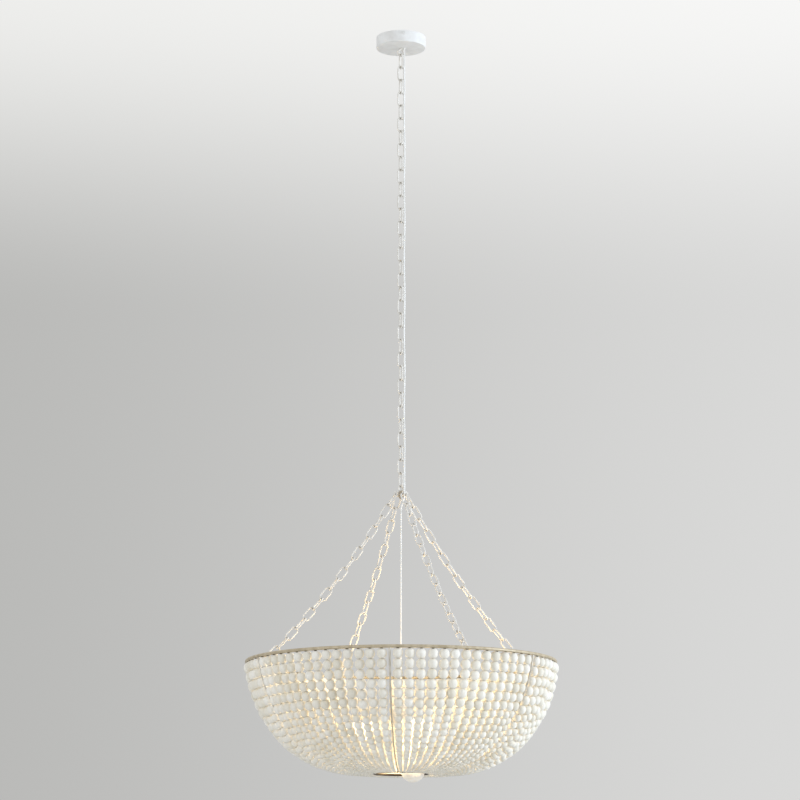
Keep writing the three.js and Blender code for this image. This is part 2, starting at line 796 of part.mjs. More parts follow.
function bulbGeometry() {
  const globe = bulbGlobe / 2;
  const globeMiddle = bulbLength - globe;
  const neckEnd = Math.asin(bulbNeck / bulbGlobe);
  const outline = [
    [0, 0],
    [bulbTip / 2, 0],
    [bulbBase / 2, bulbTipLength],
    [bulbBase / 2, bulbBaseLength],
    [bulbNeck / 2, bulbBaseLength],
    [bulbNeck / 2, globeMiddle - globe],
  ];
  for (let i = 1; i <= globeArcSteps; i += 1) {
    const angle = neckEnd + ((Math.PI - neckEnd) * i) / globeArcSteps;
    outline.push([i === globeArcSteps ? 0 : globe * Math.sin(angle), globeMiddle - globe * Math.cos(angle)]);
  }
  return turned(outline, bulbSides);
}

const lampHeight = (clusterTop + clusterBottom) / 2;
const droop = degrees(lampDroop);
const armReach = (clusterRadius + touchGap + (armDiameter / 2) * Math.sin(droop)) / Math.cos(droop);
const socketShape = socketGeometry(0, armLength);
const bulbShape = bulbGeometry();
lampAzimuths.forEach((azimuth, k) => {
  const holder = new THREE.Group();
  const tilt = new THREE.Group();
  holder.rotation.z = degrees(azimuth);
  tilt.rotation.x = upright + droop;
  tilt.position.set(0, -armReach * Math.cos(droop), lampHeight - armReach * Math.sin(droop));
  holder.add(tilt);
  lamps.add(holder);
  place(tilt, `lamp_socket_${k + 1}`, socketShape, whitePaint);
  place(tilt, `bulb_${k + 1}`, bulbShape, frostedGlass).position.z = armLength + bulbSeat;
});

// Swivel: a fork under the cluster, a pin across it and the down lamp's socket on the pin
const pinBore = pivotPinDiameter + 2 * touchGap;
const cheekInner = armDiameter / 2 + touchGap;
const cheekOuter = cheekInner + cheekThickness;
const pinEnd = cheekOuter + pivotPinStickOut;
const swivel = new THREE.Group();
swivel.rotation.z = degrees(downLampAzimuth);
lamps.add(swivel);

function crossBar(diameter, reach) {
  return bar(diameter, -reach, reach, smallSides).rotateY(upright).translate(0, 0, pivotHeight);
}

function forkGeometry() {
  const plateTop = clusterBottom - touchGap;
  const plateBottom = plateTop - forkPlateHeight;
  const plate = bar(forkPlateDiameter, plateBottom, plateTop, turnedSides);
  const cheekBottom = pivotHeight - cheekWidth / 2;
  const cheekHeight = plateTop - cheekBottom - fuseOverlap;
  const cheeks = [-1, 1].map((side) =>
    new THREE.BoxGeometry(cheekThickness, cheekWidth, cheekHeight).translate(
      (side * (cheekInner + cheekOuter)) / 2,
      0,
      cheekBottom + cheekHeight / 2,
    ),
  );
  return cutFrom(fused(plate, ...cheeks), crossBar(pinBore, cheekOuter + cutOverrun));
}
place(swivel, "swivel_fork", forkGeometry(), whitePaint);
place(swivel, "swivel_pin", crossBar(pivotPinDiameter, pinEnd), zincSteel);

const downLamp = new THREE.Group();
downLamp.position.z = pivotHeight;
downLamp.rotation.x = Math.PI - degrees(downLampLean);
swivel.add(downLamp);
const downBore = bar(pinBore, -armDiameter, armDiameter, smallSides).rotateY(upright);
const downSocketShape = cutFrom(socketGeometry(-pivotBack, downArmLength), downBore);
place(downLamp, "lamp_socket_4", downSocketShape, whitePaint);
place(downLamp, "bulb_4", bulbShape, frostedGlass).position.z = downArmLength + bulbSeat;

export default chandelier;
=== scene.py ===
import json
import math
import random

import bpy
import numpy as np
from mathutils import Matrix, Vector

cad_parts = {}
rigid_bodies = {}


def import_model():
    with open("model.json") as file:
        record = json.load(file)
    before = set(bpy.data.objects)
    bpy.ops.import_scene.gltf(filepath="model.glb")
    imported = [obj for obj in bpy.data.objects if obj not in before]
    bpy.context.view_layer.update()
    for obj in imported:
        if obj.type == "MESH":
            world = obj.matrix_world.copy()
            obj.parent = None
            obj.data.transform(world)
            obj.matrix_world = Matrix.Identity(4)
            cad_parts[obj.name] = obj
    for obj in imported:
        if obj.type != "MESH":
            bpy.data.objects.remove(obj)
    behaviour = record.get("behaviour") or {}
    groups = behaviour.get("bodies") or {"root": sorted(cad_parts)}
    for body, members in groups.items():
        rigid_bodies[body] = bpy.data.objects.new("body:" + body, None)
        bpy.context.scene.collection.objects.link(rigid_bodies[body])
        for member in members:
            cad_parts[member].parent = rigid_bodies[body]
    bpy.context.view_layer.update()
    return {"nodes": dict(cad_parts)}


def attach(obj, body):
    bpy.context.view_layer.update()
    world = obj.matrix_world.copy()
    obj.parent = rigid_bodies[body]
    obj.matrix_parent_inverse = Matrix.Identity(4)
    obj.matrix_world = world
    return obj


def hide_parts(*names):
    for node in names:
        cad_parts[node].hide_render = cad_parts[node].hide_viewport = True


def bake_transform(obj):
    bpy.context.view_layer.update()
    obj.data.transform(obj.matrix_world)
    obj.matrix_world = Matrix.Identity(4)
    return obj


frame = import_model()

# Sizes are in millimetres, and a piece's mesh is scaled to metres when it is made.
MM = 0.001
TURN = 2 * math.pi

# Turns of the fixture on the ceiling, in degrees about +Z; an azimuth runs from the front towards +X
FIXTURE_TURN = 26
STRAP_AZIMUTH = 7

# Canopy
CANOPY_RADIUS = 63.5
CANOPY_BORE = 3.3
CANOPY_WALL = 1.2
CANOPY_LOW = -30
CANOPY_TOP = -0.5
SIDE_SCREW_LENGTH = 6
SIDE_SCREW_Z = -8.4
EARTH_SCREW_PLACE = 16
STRAP_THICKNESS = 2

# Loop under the canopy
LOOP_RADIUS = 8
LOOP_WIRE = 4.4
LOOP_MIDDLE = -42.3
COLLAR_RADIUS = 4
COLLAR_LOW = -34.3
COLLAR_TOP = -30.3
STUB_RADIUS = 3
STUB_TOP = -21.3
STUB_THREAD = (1.0, 0.5)
LOOP_NUT = (10, -28.5, -24.5)

# Terminal block: one side of its plan, and its height
BLOCK_SIDE = [(-7.5, -7.5), (-0.8, -7.5), (0, -6.6), (0.8, -7.5)]
BLOCK_LOW = -13.2
BLOCK_TOP = -2.4

# Cord: its place beside the chain in the fixture's turn, the heights where its pieces meet, and its waves
CORD_RADIUS = 2
CORD_DROP_RADIUS = 1.65
GROMMET_BORE = 2.1
CORD_PLACE = (6.364, -6.364)
CORD_HEIGHTS = [-13.4, -34.45, -64.85, -98.35, -1127.35, -1160.85, -1184.95, -1195.75]
CORD_WAVE = 0.8
CORD_WAVES = (5.3, 3.7)
CORD_CENTRED = -1239.75
CORD_END = -1723.6
CORD_LEAN = -1219.6

# Chains: the links' wire, width and length, the pitch from link to link, and where each chain starts
WIRE = 4
LINK_WIDTH = 21
LINK_TOUCH = 0.5
LINK_WELD = 1.09
LINK_TWIST = 3.5
MAIN_SPAN = 37.8
MAIN_PITCH = 34.3
TOP_LINK_START = -45.8
MAIN_START = -79.3
MAIN_COUNT = 31
LOW_LINK_START = -1141.8
SIDE_SPAN = 37.56
SIDE_PITCH = 34.06
SIDE_COUNT = 16
SIDE_SAG = 15

# Hub
HUB_EYE_RADIUS = 6.5
HUB_EYE_MIDDLE = -1181.8
HUB_STEM_RADIUS = 2.5
HUB_STEM_LOW = -1208.4
HUB_NECK_RADIUS = 3.0
SPOOL_RADIUS = 6.3
SPOOL_WAIST = 5.6
SPOOL_BORE = 2.8
SPOOL_LOW = -1204.6
SPOOL_TOP = -1190.6
SIDE_EYE_RADIUS = 5.5
SIDE_EYE_WIRE = 3.6
SIDE_EYE_PLACE = 13.1
SIDE_EYE_Z = -1196.6
SIDE_EYE_SLACK = 1.4
HUB_NUT = (8, -1208.4, -1204.9)

# Rings, eyelets and ribs
RING_RADIUS = 382
RING_BAR = 8
RING_Z = -1620
LOW_RING_RADIUS = 66
LOW_RING_BAR = 5.6
LOW_RING_Z = -1892
EYELET_RADIUS = 6.5
EYELET_PLACE = 361
EYELET_Z = -1620.5
EYELET_SHANK = [(EYELET_RADIUS, 2), (9, 2), (12, 2), (15, 2), (16, 2.7), (17.3, 3.1)]
RIB_RADIUS = 2.5
RIB_COUNT = 6
BAY_TURN = 60
WELD_SWELL = 0.7
WELD_REACH = 2.2
RIB_CURVE = [(382, -1623.7), (372.5, -1722.0), (281.0, -1890.0), (68.6, -1892.0)]

# Strands: their curve as radius and height, the beads' sizes with how many of each, and the wire
STRAND_CURVE = [(379, -1624.3), (366.0, -1722.0), (292.0, -1905.0), (69.3, -1892.0)]
STRANDS_PER_BAY = 14
BEAD_RUNS = [(24, 6), (20, 6), (16, 4), (12, 4), (10, 3), (8, 3), (6, 12)]
BEAD_PITCH = 0.985
BEAD_ROOM = 0.98
BEAD_SIZES_ALONG = [(0, 24), (0.24, 24), (0.44, 20), (0.61, 16), (0.74, 12), (0.82, 10.5), (1, 6)]
RIB_GAP_TOP = 4.5
RIB_GAP_END = 1.2
BEAD_BORE = 0.15
BEAD_FLAT = 0.96
BEAD_FULLNESS = 2.15
STRAND_WIRE = 0.45
WIRE_END = 0.985
HOOK_REACH = (120, 218)
COIL_PLACE = (382.4, -1624.9)
COIL_RADIUS = 1.3
COIL_HALF = 2.9
COIL_TURNS = 5

# How strands differ: their sway into the free room beside them, the drift of their rows, and their tone
SWAY_SPREAD = 0.85
RIB_SWAY = 0.45
ROW_DRIFT = 0.02
STRAND_TONE = 0.12

# How beads differ: how loosely each sits on its wire, its lean, its least size, and its tone and grain
BEAD_LOOSE = 0.016
BEAD_LOOSE_MOST = 0.35
BEAD_LEAN = 0.05
BEAD_LEAST = 0.975
BEAD_TONE = 0.38
BEAD_TONE_SPREAD = 0.22
GRAIN_SIZE = 10
GRAIN_REACH = 40

# The right side of the bowl hangs fuller
FULLER_AZIMUTH = 78
FULLER_REACH = 8

# Lamps: cord grip, cluster body, sockets and bulbs
GRIP_RADIUS = 9
GRIP_BORE = 2.1
GRIP_TOP = -1710.6
GRIP_LOW = -1728.6
CLUSTER_TOP = -1728.9
CLUSTER_LOW = -1782.9
CLUSTER_RADIUS = 20
LAMP_HEIGHT = -1755.9
LAMP_AZIMUTHS = (30, 150, 270)
LAMP_DROOP = 20
PIVOT_Z = -1795.9
DOWN_LEAN = 18.2
SOCKET_ARM = 6
ARM_RADIUS = 5.5
ARM_CLEAR = 0.3
SOCKET_RADIUS = 18.5
SOCKET_MOUTH = 15.5
SOCKET_LENGTH = 42
DOWN_ARM = 7.5
DOWN_BACK = 5
BULB_SEAT = 8.3
BASE_RADIUS = 12.2
BASE_LOW = 4.2
BASE_TOP = 23.0
BASE_PITCH = 3.6
GLOBE_PLACE = 78
GLOBE = 29.6

# Fork and pin of the lamp that points down
FORK_LOW = -1786.2
FORK_TOP = -1783.2
FORK_RADIUS = 13
EAR_RADIUS = 4.5
EAR_HEIGHT = 10.2
EAR_SIDES = ((5.8, 8.3), (-8.3, -5.8))
PIN_HALF = 9.4

# Room, in metres, and the glow of each lit bulb in watts
FLOOR_Z = -2.75
FLOOR_HALF = 9.0
GLOW_POWER = 1.35
GLOW_RADIUS = 0.02


def in_scene(name, data):
    """A new object of the scene."""
    made = bpy.data.objects.new(name, data)
    bpy.context.scene.collection.objects.link(made)
    return made


# Camera at the photograph's viewpoint
camera_data = bpy.data.cameras.new("camera")
camera = in_scene("camera", camera_data)
bpy.context.scene.camera = camera
camera_data.sensor_width = 36
camera_data.lens = 126.05
camera_data.shift_x = -0.00125
camera_data.clip_start = 0.1
camera_data.clip_end = 60
camera.location = (0, -6.929, -2.335)
camera.rotation_euler = (math.radians(90 + 11.25), 0, 0)


# Colours and material nodes
def tint(code):
    """A colour from its hexadecimal code, as linear light."""
    parts = [int(code[i:i + 2], 16) / 255 for i in (0, 2, 4)]
    return [c / 12.92 if c <= 0.04045 else ((c + 0.055) / 1.055) ** 2.4 for c in parts] + [1]


class Nodes:
    """A node tree, with short ways to add to it."""

    def __init__(self, tree):
        self.tree = tree

    def node(self, kind, settings=None, **inputs):
        made = self.tree.nodes.new(kind)
        for key, value in (settings or {}).items():
            setattr(made, key, value)
        for key, value in inputs.items():
            self.put(made.inputs[key.replace("_", " ")], value)
        return made

    def put(self, socket, value):
        """Gives a socket another socket's output, a number, a vector or a colour's code."""
        if isinstance(value, bpy.types.NodeSocket):
            self.tree.links.new(value, socket)
        else:
            socket.default_value = tint(value) if isinstance(value, str) else value

    def coordinates(self, kind):
        return self.node("ShaderNodeTexCoord").outputs[kind]

    def attribute(self, name, output="Fac"):
        return self.node("ShaderNodeAttribute", {"attribute_name": name}).outputs[output]

    def stretched(self, vector, scale):
        mapped = self.node("ShaderNodeMapping", Vector=vector, Scale=scale)
        return mapped.outputs["Vector"]

    def noise(self, vector, scale, detail=3.0, rough=0.55):
        made = self.node("ShaderNodeTexNoise", Vector=vector, Scale=scale, Detail=detail, Roughness=rough)
        return made.outputs["Fac"]

    def between(self, value, low, high, out_low=0.0, out_high=1.0, curve="LINEAR"):
        made = self.node("ShaderNodeMapRange", {"interpolation_type": curve}, Value=value,
                         From_Min=low, From_Max=high, To_Min=out_low, To_Max=out_high)
        return made.outputs["Result"]

    def math(self, operation, first, second):
        settings = {"operation": operation, "use_clamp": operation != "MULTIPLY"}
        made = self.node("ShaderNodeMath", settings)
        self.put(made.inputs[0], first)
        self.put(made.inputs[1], second)
        return made.outputs[0]

    def mix(self, factor, first, second):
        made = self.node("ShaderNodeMix", {"data_type": "RGBA"})
        self.put(made.inputs[0], factor)
        self.put(made.inputs[6], first)
        self.put(made.inputs[7], second)
        return made.outputs[2]


class Finish(Nodes):
    """A material with its shader."""

    def __init__(self, name, **sockets):
        self.material = bpy.data.materials.new(name)
        self.material.use_nodes = True
        super().__init__(self.material.node_tree)
        self.shader = self.tree.nodes["Principled BSDF"]
        for key, value in sockets.items():
            self.put(self.shader.inputs[key.replace("_", " ")], value)

    def bump(self, height, strength, distance):
        made = self.node("ShaderNodeBump", Height=height, Strength=strength, Distance=distance)
        self.put(self.shader.inputs["Normal"], made.outputs["Normal"])

    def colour(self, factor, first, second):
        self.put(self.shader.inputs["Base Color"], self.mix(factor, first, second))

    def rough(self, pattern, low, high):
        self.put(self.shader.inputs["Roughness"], self.between(pattern, 0.3, 0.7, low, high))


def painted(name, light, dark, low, high, peel):
    """Smooth sprayed paint with faint mottling and orange peel."""
    made = Finish(name)
    place = made.coordinates("Object")
    cloud = made.noise(place, 38.0)
    made.colour(made.between(cloud, 0.35, 0.7), light, dark)
    made.rough(made.noise(place, 120.0), low, high)
    made.bump(made.noise(place, 900.0, 2.0), peel, 0.0004)
    return made.material


def chalky_chain():
    """Chalky paint on wire, worn to the grey-brown metal where links rub."""
    made = Finish("chalky_chain")
    place = made.coordinates("Object")
    chips = made.between(made.noise(place, 420.0, 4.0, 0.7), 0.55, 0.68)
    patchy = made.between(made.noise(place, 160.0), 0.3, 0.6, 0.35, 1.0)
    rubbed = made.math("MULTIPLY", made.attribute("wear"), patchy)
    bare = made.math("ADD", made.math("MULTIPLY", rubbed, 0.8), made.math("MULTIPLY", chips, 0.08))
    shade = made.mix(made.between(made.noise(place, 70.0), 0.35, 0.7), "ece8df", "d8d3c8")
    made.colour(bare, shade, "857c6c")
    made.put(made.shader.inputs["Metallic"], made.math("MULTIPLY", bare, 0.35))
    made.rough(made.noise(place, 200.0), 0.62, 0.8)
    made.bump(made.noise(place, 650.0, 4.0, 0.65), 0.35, 0.0005)
    return made.material


def brushed(name, light, dark, metallic, low, high, strength):
    """Metal with soft tarnish and fine drawn lines."""
    made = Finish(name, Metallic=metallic)
    place = made.coordinates("Object")
    cloud = made.noise(place, 55.0, 4.0)
    fine = made.noise(place, 700.0, 3.0)
    tarnish = made.between(cloud, 0.35, 0.7, 0, 0.8)
    lines = made.between(fine, 0.4, 0.8, 0, 0.3)
    made.colour(made.math("ADD", tarnish, lines), light, dark)
    made.rough(made.noise(place, 240.0), low, high)
    made.bump(fine, strength, 0.0003)
    return made.material


def washed_wood():
    """Whitewashed wooden beads: each has its own tone and grain."""
    made = Finish("washed_wood_beads")
    grain = made.attribute("grain", "Vector")
    warped = made.noise(made.stretched(grain, (1.4, 1.4, 0.5)), 1.6, 2.0)
    lines = made.noise(made.stretched(grain, (9.0, 9.0, 0.9)), 1.5, 4.0, 0.6)
    pores = made.between(lines, 0.52, 0.74)
    patches = made.between(warped, 0.4, 0.75)
    clean = made.mix(made.attribute("tone"), "f7f3e8", "e6dfcc")
    veined = made.mix(made.math("MULTIPLY", pores, 0.32), clean, "c2b59b")
    made.colour(made.math("MULTIPLY", patches, 0.22), veined, "d8cfba")
    made.rough(lines, 0.58, 0.82)
    made.bump(lines, 0.3, 0.0006)
    return made.material


def jacket():
    """Smooth white cord jacket with faint scuffs."""
    made = Finish("cord_vinyl")
    place = made.coordinates("Object")
    scuffs = made.noise(made.stretched(place, (1.0, 1.0, 0.12)), 260.0, 3.0)
    made.colour(made.between(scuffs, 0.5, 0.75), "f2f1ec", "dedcd3")
    made.rough(scuffs, 0.38, 0.56)
    made.bump(made.noise(place, 800.0, 2.0), 0.15, 0.0003)
    return made.material


def frosted(name, glow):
    """Frosted bulb glass with a soft glow of its own."""
    made = Finish(name, Emission_Strength=glow, Coat_Weight=0.25, Coat_Roughness=0.12)
    place = made.coordinates("Object")
    cloud = made.noise(place, 60.0)
    made.colour(made.between(cloud, 0.35, 0.7), "f6f1e6", "ece5d6")
    warm = made.mix(made.between(cloud, 0.3, 0.7), "fff5e2", "ffecca")
    made.put(made.shader.inputs["Emission Color"], warm)
    made.rough(made.noise(place, 300.0), 0.3, 0.42)
    return made.material


canopy_paint = painted("satin_white_paint", "eeede8", "e3e1db", 0.38, 0.5, 0.12)
lamp_paint = painted("lamp_white_paint", "ebe8df", "dcd8cd", 0.42, 0.55, 0.15)
chain_paint = chalky_chain()
ring_metal = brushed("champagne_bronze", "cdbfa3", "a8987a", 0.3, 0.4, 0.58, 0.2)
rib_metal = brushed("pale_champagne", "dad5c9", "b9b1a1", 0.5, 0.3, 0.46, 0.2)
hub_metal = brushed("hub_bronze", "c3b9a8", "a1957f", 0.3, 0.5, 0.68, 0.3)
low_metal = brushed("aged_bronze", "584b3a", "3f3527", 0.1, 0.6, 0.75, 0.3)
wire_metal = brushed("dark_wire", "7d7058", "544a38", 0.8, 0.4, 0.6, 0.2)
zinc_steel = brushed("zinc_plated_steel", "b4b6b8", "8f9294", 0.9, 0.3, 0.48, 0.2)
brass_plate = brushed("brass_plated_steel", "bd9a58", "94783f", 0.9, 0.28, 0.45, 0.2)
bead_wood = washed_wood()
cord_jacket = jacket()
white_plastic = painted("moulded_white_plastic", "f2f0e9", "e6e3da", 0.4, 0.55, 0.1)
dark_plastic = painted("dark_insulator", "3a3632", "2a2724", 0.35, 0.5, 0.1)
lit_glass = frosted("frosted_glass_lit", 0.8)
calm_glass = frosted("frosted_glass", 0.12)


# Shapes are pairs of points and faces
class Form:
    """Closed shapes gathered for one piece, with each face's finish and each point's wear."""

    def __init__(self):
        self.points, self.faces, self.finishes, self.wear = [], [], [], []

    def add(self, shape, finish=0, wear=None):
        points, faces = shape
        base = len(self.points)
        self.points.extend(map(tuple, points))
        self.faces.extend(tuple(base + i for i in face) for face in faces)
        self.finishes.extend([finish] * len(faces))
        self.wear.extend([0.0] * len(points) if wear is None else list(wear))
        return self


def unit(vectors):
    vectors = np.asarray(vectors, float)
    return vectors / np.linalg.norm(vectors, axis=-1, keepdims=True)


def lathe(outline, sides, closed=False, warp=None):
    """A form turned about Z from [radius, height] pairs, upwards on its outside."""
    angles = np.arange(sides) * TURN / sides
    points, faces, rings = [], [], []
    for radius, z in outline:
        start = len(points)
        if radius < 1e-6:
            rings.append([start])
            points.append((0.0, 0.0, z))
            continue
        reach = np.full(sides, float(radius)) if warp is None else warp(angles, radius, z)
        rings.append(list(range(start, start + sides)))
        points.extend(zip(reach * np.cos(angles), reach * np.sin(angles), np.full(sides, float(z))))
    pairs = list(zip(rings, rings[1:]))
    if closed:
        pairs.append((rings[-1], rings[0]))
    for low, high in pairs:
        for i in range(sides):
            j = (i + 1) % sides
            if len(low) == 1:
                faces.append((low[0], high[j], high[i]))
            elif len(high) == 1:
                faces.append((low[i], low[j], high[0]))
            else:
                faces.append((low[i], low[j], high[j], high[i]))
    return np.array(points), faces


def soft(corners, closed=False):
    """An outline whose corners, given as (radius, height, fillet), are rounded."""
    made, steps = [], 4
    count = len(corners)
    for i, corner in enumerate(corners):
        here = np.array(corner[:2], float)
        fillet = corner[2] if len(corner) > 2 else 0
        if not fillet or (not closed and i in (0, count - 1)):
            made.append(tuple(here))
            continue
        before = np.array(corners[i - 1][:2], float) - here
        after = np.array(corners[(i + 1) % count][:2], float) - here
        reach_before = min(fillet, np.linalg.norm(before) * 0.48)
        reach_after = min(fillet, np.linalg.norm(after) * 0.48)
        first = here + unit(before) * reach_before
        last = here + unit(after) * reach_after
        for k in range(steps + 1):
            t = k / steps
            made.append(tuple((1 - t) ** 2 * first + 2 * t * (1 - t) * here + t * t * last))
    return made


def tube(path, radius, sides, closed=False, normal=None):
    """A round bar along a path.

    A flat path gives its plane's normal, and any other takes frames that don't twist.
    """
    path = np.array(path, float)
    count = len(path)
    if closed:
        ahead = unit(np.roll(path, -1, 0) - np.roll(path, 1, 0))
    else:
        ahead = unit(np.gradient(path, axis=0))
    if normal is not None:
        across = np.tile(unit(normal), (count, 1))
    else:
        start = np.cross(ahead[0], [0.3, 0.9, 0.2])
        across = [unit(start)]
        for direction in ahead[1:]:
            turned = across[-1] - direction * np.dot(across[-1], direction)
            across.append(unit(turned))
        across = np.array(across)
    beside = np.cross(across, ahead)
    angles = np.arange(sides) * TURN / sides
    reach = np.broadcast_to(np.asarray(radius, float).reshape(-1, 1), (count, 1))
    rings = (
        path[:, None, :]
        + (reach * np.cos(angles))[:, :, None] * beside[:, None, :]
        + (reach * np.sin(angles))[:, :, None] * across[:, None, :]
    )
    faces = []
    for k in range(count if closed else count - 1):
        low, high = k * sides, ((k + 1) % count) * sides
        for i in range(sides):
            j = (i + 1) % sides
            faces.append((low + i, low + j, high + j, high + i))
    if not closed:
        faces.append(tuple(reversed(range(sides))))
        faces.append(tuple(range((count - 1) * sides, count * sides)))
    return rings.reshape(-1, 3), faces


def prism(outline, low, high):
    """A form of one thickness along Z from a flat outline, anticlockwise."""
    count = len(outline)
    points = [(x, y, z) for z in (low, high) for x, y in outline]
    faces = [(i, (i + 1) % count, (i + 1) % count + count, i + count) for i in range(count)]
    faces.append(tuple(reversed(range(count))))
    faces.append(tuple(range(count, 2 * count)))
    return np.array(points, float), faces


def moved(shape, offset):
    return shape[0] + np.array(offset, float), shape[1]


def turned(shape, angle):
    """The form turned about Z by an angle in degrees."""
    c, s = math.cos(math.radians(angle)), math.sin(math.radians(angle))
    return np.asarray(shape[0]) @ np.array([[c, s, 0], [-s, c, 0], [0, 0, 1]]), shape[1]


def aimed(shape, origin, direction):
    """The form with its Z axis along a direction, which isn't exactly Y, and its start at a point."""
    z = unit(direction)
    x = unit(np.cross([0.0, 1.0, 0.0], z))
    y = np.cross(z, x)
    return np.asarray(shape[0]) @ np.array([x, y, z]) + np.array(origin, float), shape[1]


def toward(azimuth, radius, z):
    """The point at an azimuth, radius and height."""
    angle = math.radians(azimuth)
    return np.array([radius * math.sin(angle), -radius * math.cos(angle), z])


def bezier(corners, count):
    """Points of a cubic curve at equal steps of its length, with their distances along it."""
    a, b, c, d = (np.array(p, float) for p in corners)
    t = np.linspace(0, 1, 801)[:, None]
    dense = (1 - t) ** 3 * a + 3 * t * (1 - t) ** 2 * b + 3 * t * t * (1 - t) * c + t ** 3 * d
    along = np.concatenate([[0], np.cumsum(np.linalg.norm(np.diff(dense, axis=0), axis=1))])
    wanted = np.linspace(0, along[-1], count)
    return np.stack([np.interp(wanted, along, column) for column in dense.T], axis=1), wanted


def finished(mesh, name, body, nodes, finishes, angle):
    """A mesh as a piece of the scene. A piece without a body rides on nothing."""
    for finish in finishes:
        mesh.materials.append(finish)
    mesh.shade_smooth()
    mesh.set_sharp_from_angle(angle=math.radians(angle))
    made = in_scene(name, mesh)
    if body:
        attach(made, body)
    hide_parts(*nodes)
    return made


def piece(form, name, body, nodes, slot, *finishes, angle=38):
    """A piece from a form, riding on a body in place of its CAD nodes."""
    mesh = bpy.data.meshes.new(name)
    mesh.from_pydata((np.array(form.points) * MM).tolist(), [], form.faces)
    wear = mesh.attributes.new("wear", "FLOAT", "POINT")
    wear.data.foreach_set("value", np.array(form.wear, np.float32))
    made = finished(mesh, name, body, nodes, finishes, angle)
    mesh.polygons.foreach_set("material_index", np.array(form.finishes, np.int32))
    return made


def plain(shape, name, body, node, slot, finish):
    """A piece of one shape and one finish, in place of one CAD node."""
    return piece(Form().add(shape), name, body, [node], slot, finish)


def softened(made, width):
    """Small rounded edges on a piece with flat faces."""
    bevel = made.modifiers.new("edges", "BEVEL")
    bevel.width = width * MM
    bevel.segments = 2
    bevel.limit_method = "ANGLE"
    bevel.angle_limit = math.radians(35)


# Small parts
def screw(length, shank, head, height, slot_half):
    """A screw along +Z with a domed head and a driver slot."""
    sides = 48
    top = length + height
    outside = soft(
        [(0, 0), (shank, 0, 0.4), (shank, length), (head, length, 0.3), (head, length + height * 0.45, 0.6),
         (head * 0.72, length + height * 0.92, 1.2), (slot_half + 0.12, top)]
    )
    recess_low = length + height * 0.4
    points, faces = lathe(outside + [(1, top), (1, recess_low), (0, recess_low)], sides)
    angles = np.arange(sides) * TURN / sides
    across, along = abs(np.cos(angles)) / slot_half, abs(np.sin(angles)) / (slot_half * 0.24)
    recess = (across ** 8 + along ** 8) ** (-1 / 8)
    first = 1 + (len(outside) - 1) * sides
    for low in (first, first + sides):
        points[low:low + sides, 0] = recess * np.cos(angles)
        points[low:low + sides, 1] = recess * np.sin(angles)
    return points, faces


def hex_nut(width, low, high, bore):
    """A hexagon nut about Z with chamfered corners and a bore."""
    flat = width / 2
    corner = flat / math.cos(math.pi / 6)

    def flats(angles, radius, z):
        if radius <= bore + 0.01:
            return np.full(len(angles), float(radius))
        folded = (angles + math.pi / 6) % (math.pi / 3) - math.pi / 6
        return np.minimum(flat / np.cos(folded), radius)

    chamfer = (corner - flat) * 0.55
    outline = [(bore, low), (flat * 0.98, low), (corner, low + chamfer), (corner, high - chamfer),
               (flat * 0.98, high), (bore, high)]
    return lathe(outline, 72, closed=True, warp=flats)


def threaded(radius, low, high, pitch, depth):
    """A threaded rod about Z: its outside is one screw line."""
    count = max(8, int((high - low) / pitch * 8))
    heights = np.linspace(low, high, count)

    def ridge(angles, reach, z):
        phase = TURN * (z - low) / pitch - angles
        fade = min(1, (z - low) / pitch, (high - z) / pitch)
        return reach - depth / 2 + depth / 2 * np.cos(phase) * fade

    outline = [(0, low)] + [(radius, z) for z in heights] + [(0, high)]
    return lathe(outline, 36, warp=ridge)


def ring(radius, bar, middle, steps, sides, upright=False):
    """A ring of round bar, level or upright in the XZ plane."""
    angles = np.arange(steps) * TURN / steps
    path = np.stack([radius * np.cos(angles), radius * np.sin(angles), np.zeros(steps)], 1)
    normal = (0, 0, 1)
    if upright:
        path, normal = path[:, [0, 2, 1]], (0, 1, 0)
    return tube(path + np.array(middle, float), bar / 2, sides, closed=True, normal=normal)


# Canopy, strap and screws
inside, inside_low = CANOPY_RADIUS - CANOPY_WALL, CANOPY_LOW + CANOPY_WALL
shell = soft(
    [(CANOPY_BORE, CANOPY_LOW, 0.2), (CANOPY_RADIUS, CANOPY_LOW, 2.2), (CANOPY_RADIUS, CANOPY_TOP, 0.4),
     (inside, CANOPY_TOP, 0.4), (inside, inside_low, 1.6), (CANOPY_BORE, inside_low, 0.2)],
    closed=True,
)
plain(lathe(shell, 144, closed=True), "canopy_shell", "ceiling_mount", "canopy_cup", "canopy_paint",
      canopy_paint)

side_screw = screw(SIDE_SCREW_LENGTH, shank=2, head=4, height=2.5, slot_half=3.1)
for side, azimuth in (("front", STRAP_AZIMUTH), ("back", STRAP_AZIMUTH + 180)):
    start = toward(azimuth, CANOPY_RADIUS + 0.3 - SIDE_SCREW_LENGTH, SIDE_SCREW_Z)
    plain(aimed(side_screw, start, toward(azimuth, 1, 0)), f"side_screw_{side}", "ceiling_mount",
          f"canopy_screw_{side}", "canopy_paint", canopy_paint)

earth_screw = screw(STRAP_THICKNESS, shank=2, head=4.5, height=2.4, slot_half=3.4)
earth_place = toward(STRAP_AZIMUTH + 180, EARTH_SCREW_PLACE, -0.3)
plain(aimed(earth_screw, earth_place, (0.001, 0, -1)), "earth_screw", "ceiling_mount", "ground_screw",
      "brass_screw", brass_plate)

strap = frame["nodes"]["mounting_strap"]
strap.data.materials.clear()
strap.data.materials.append(zinc_steel)
softened(strap, 0.5)

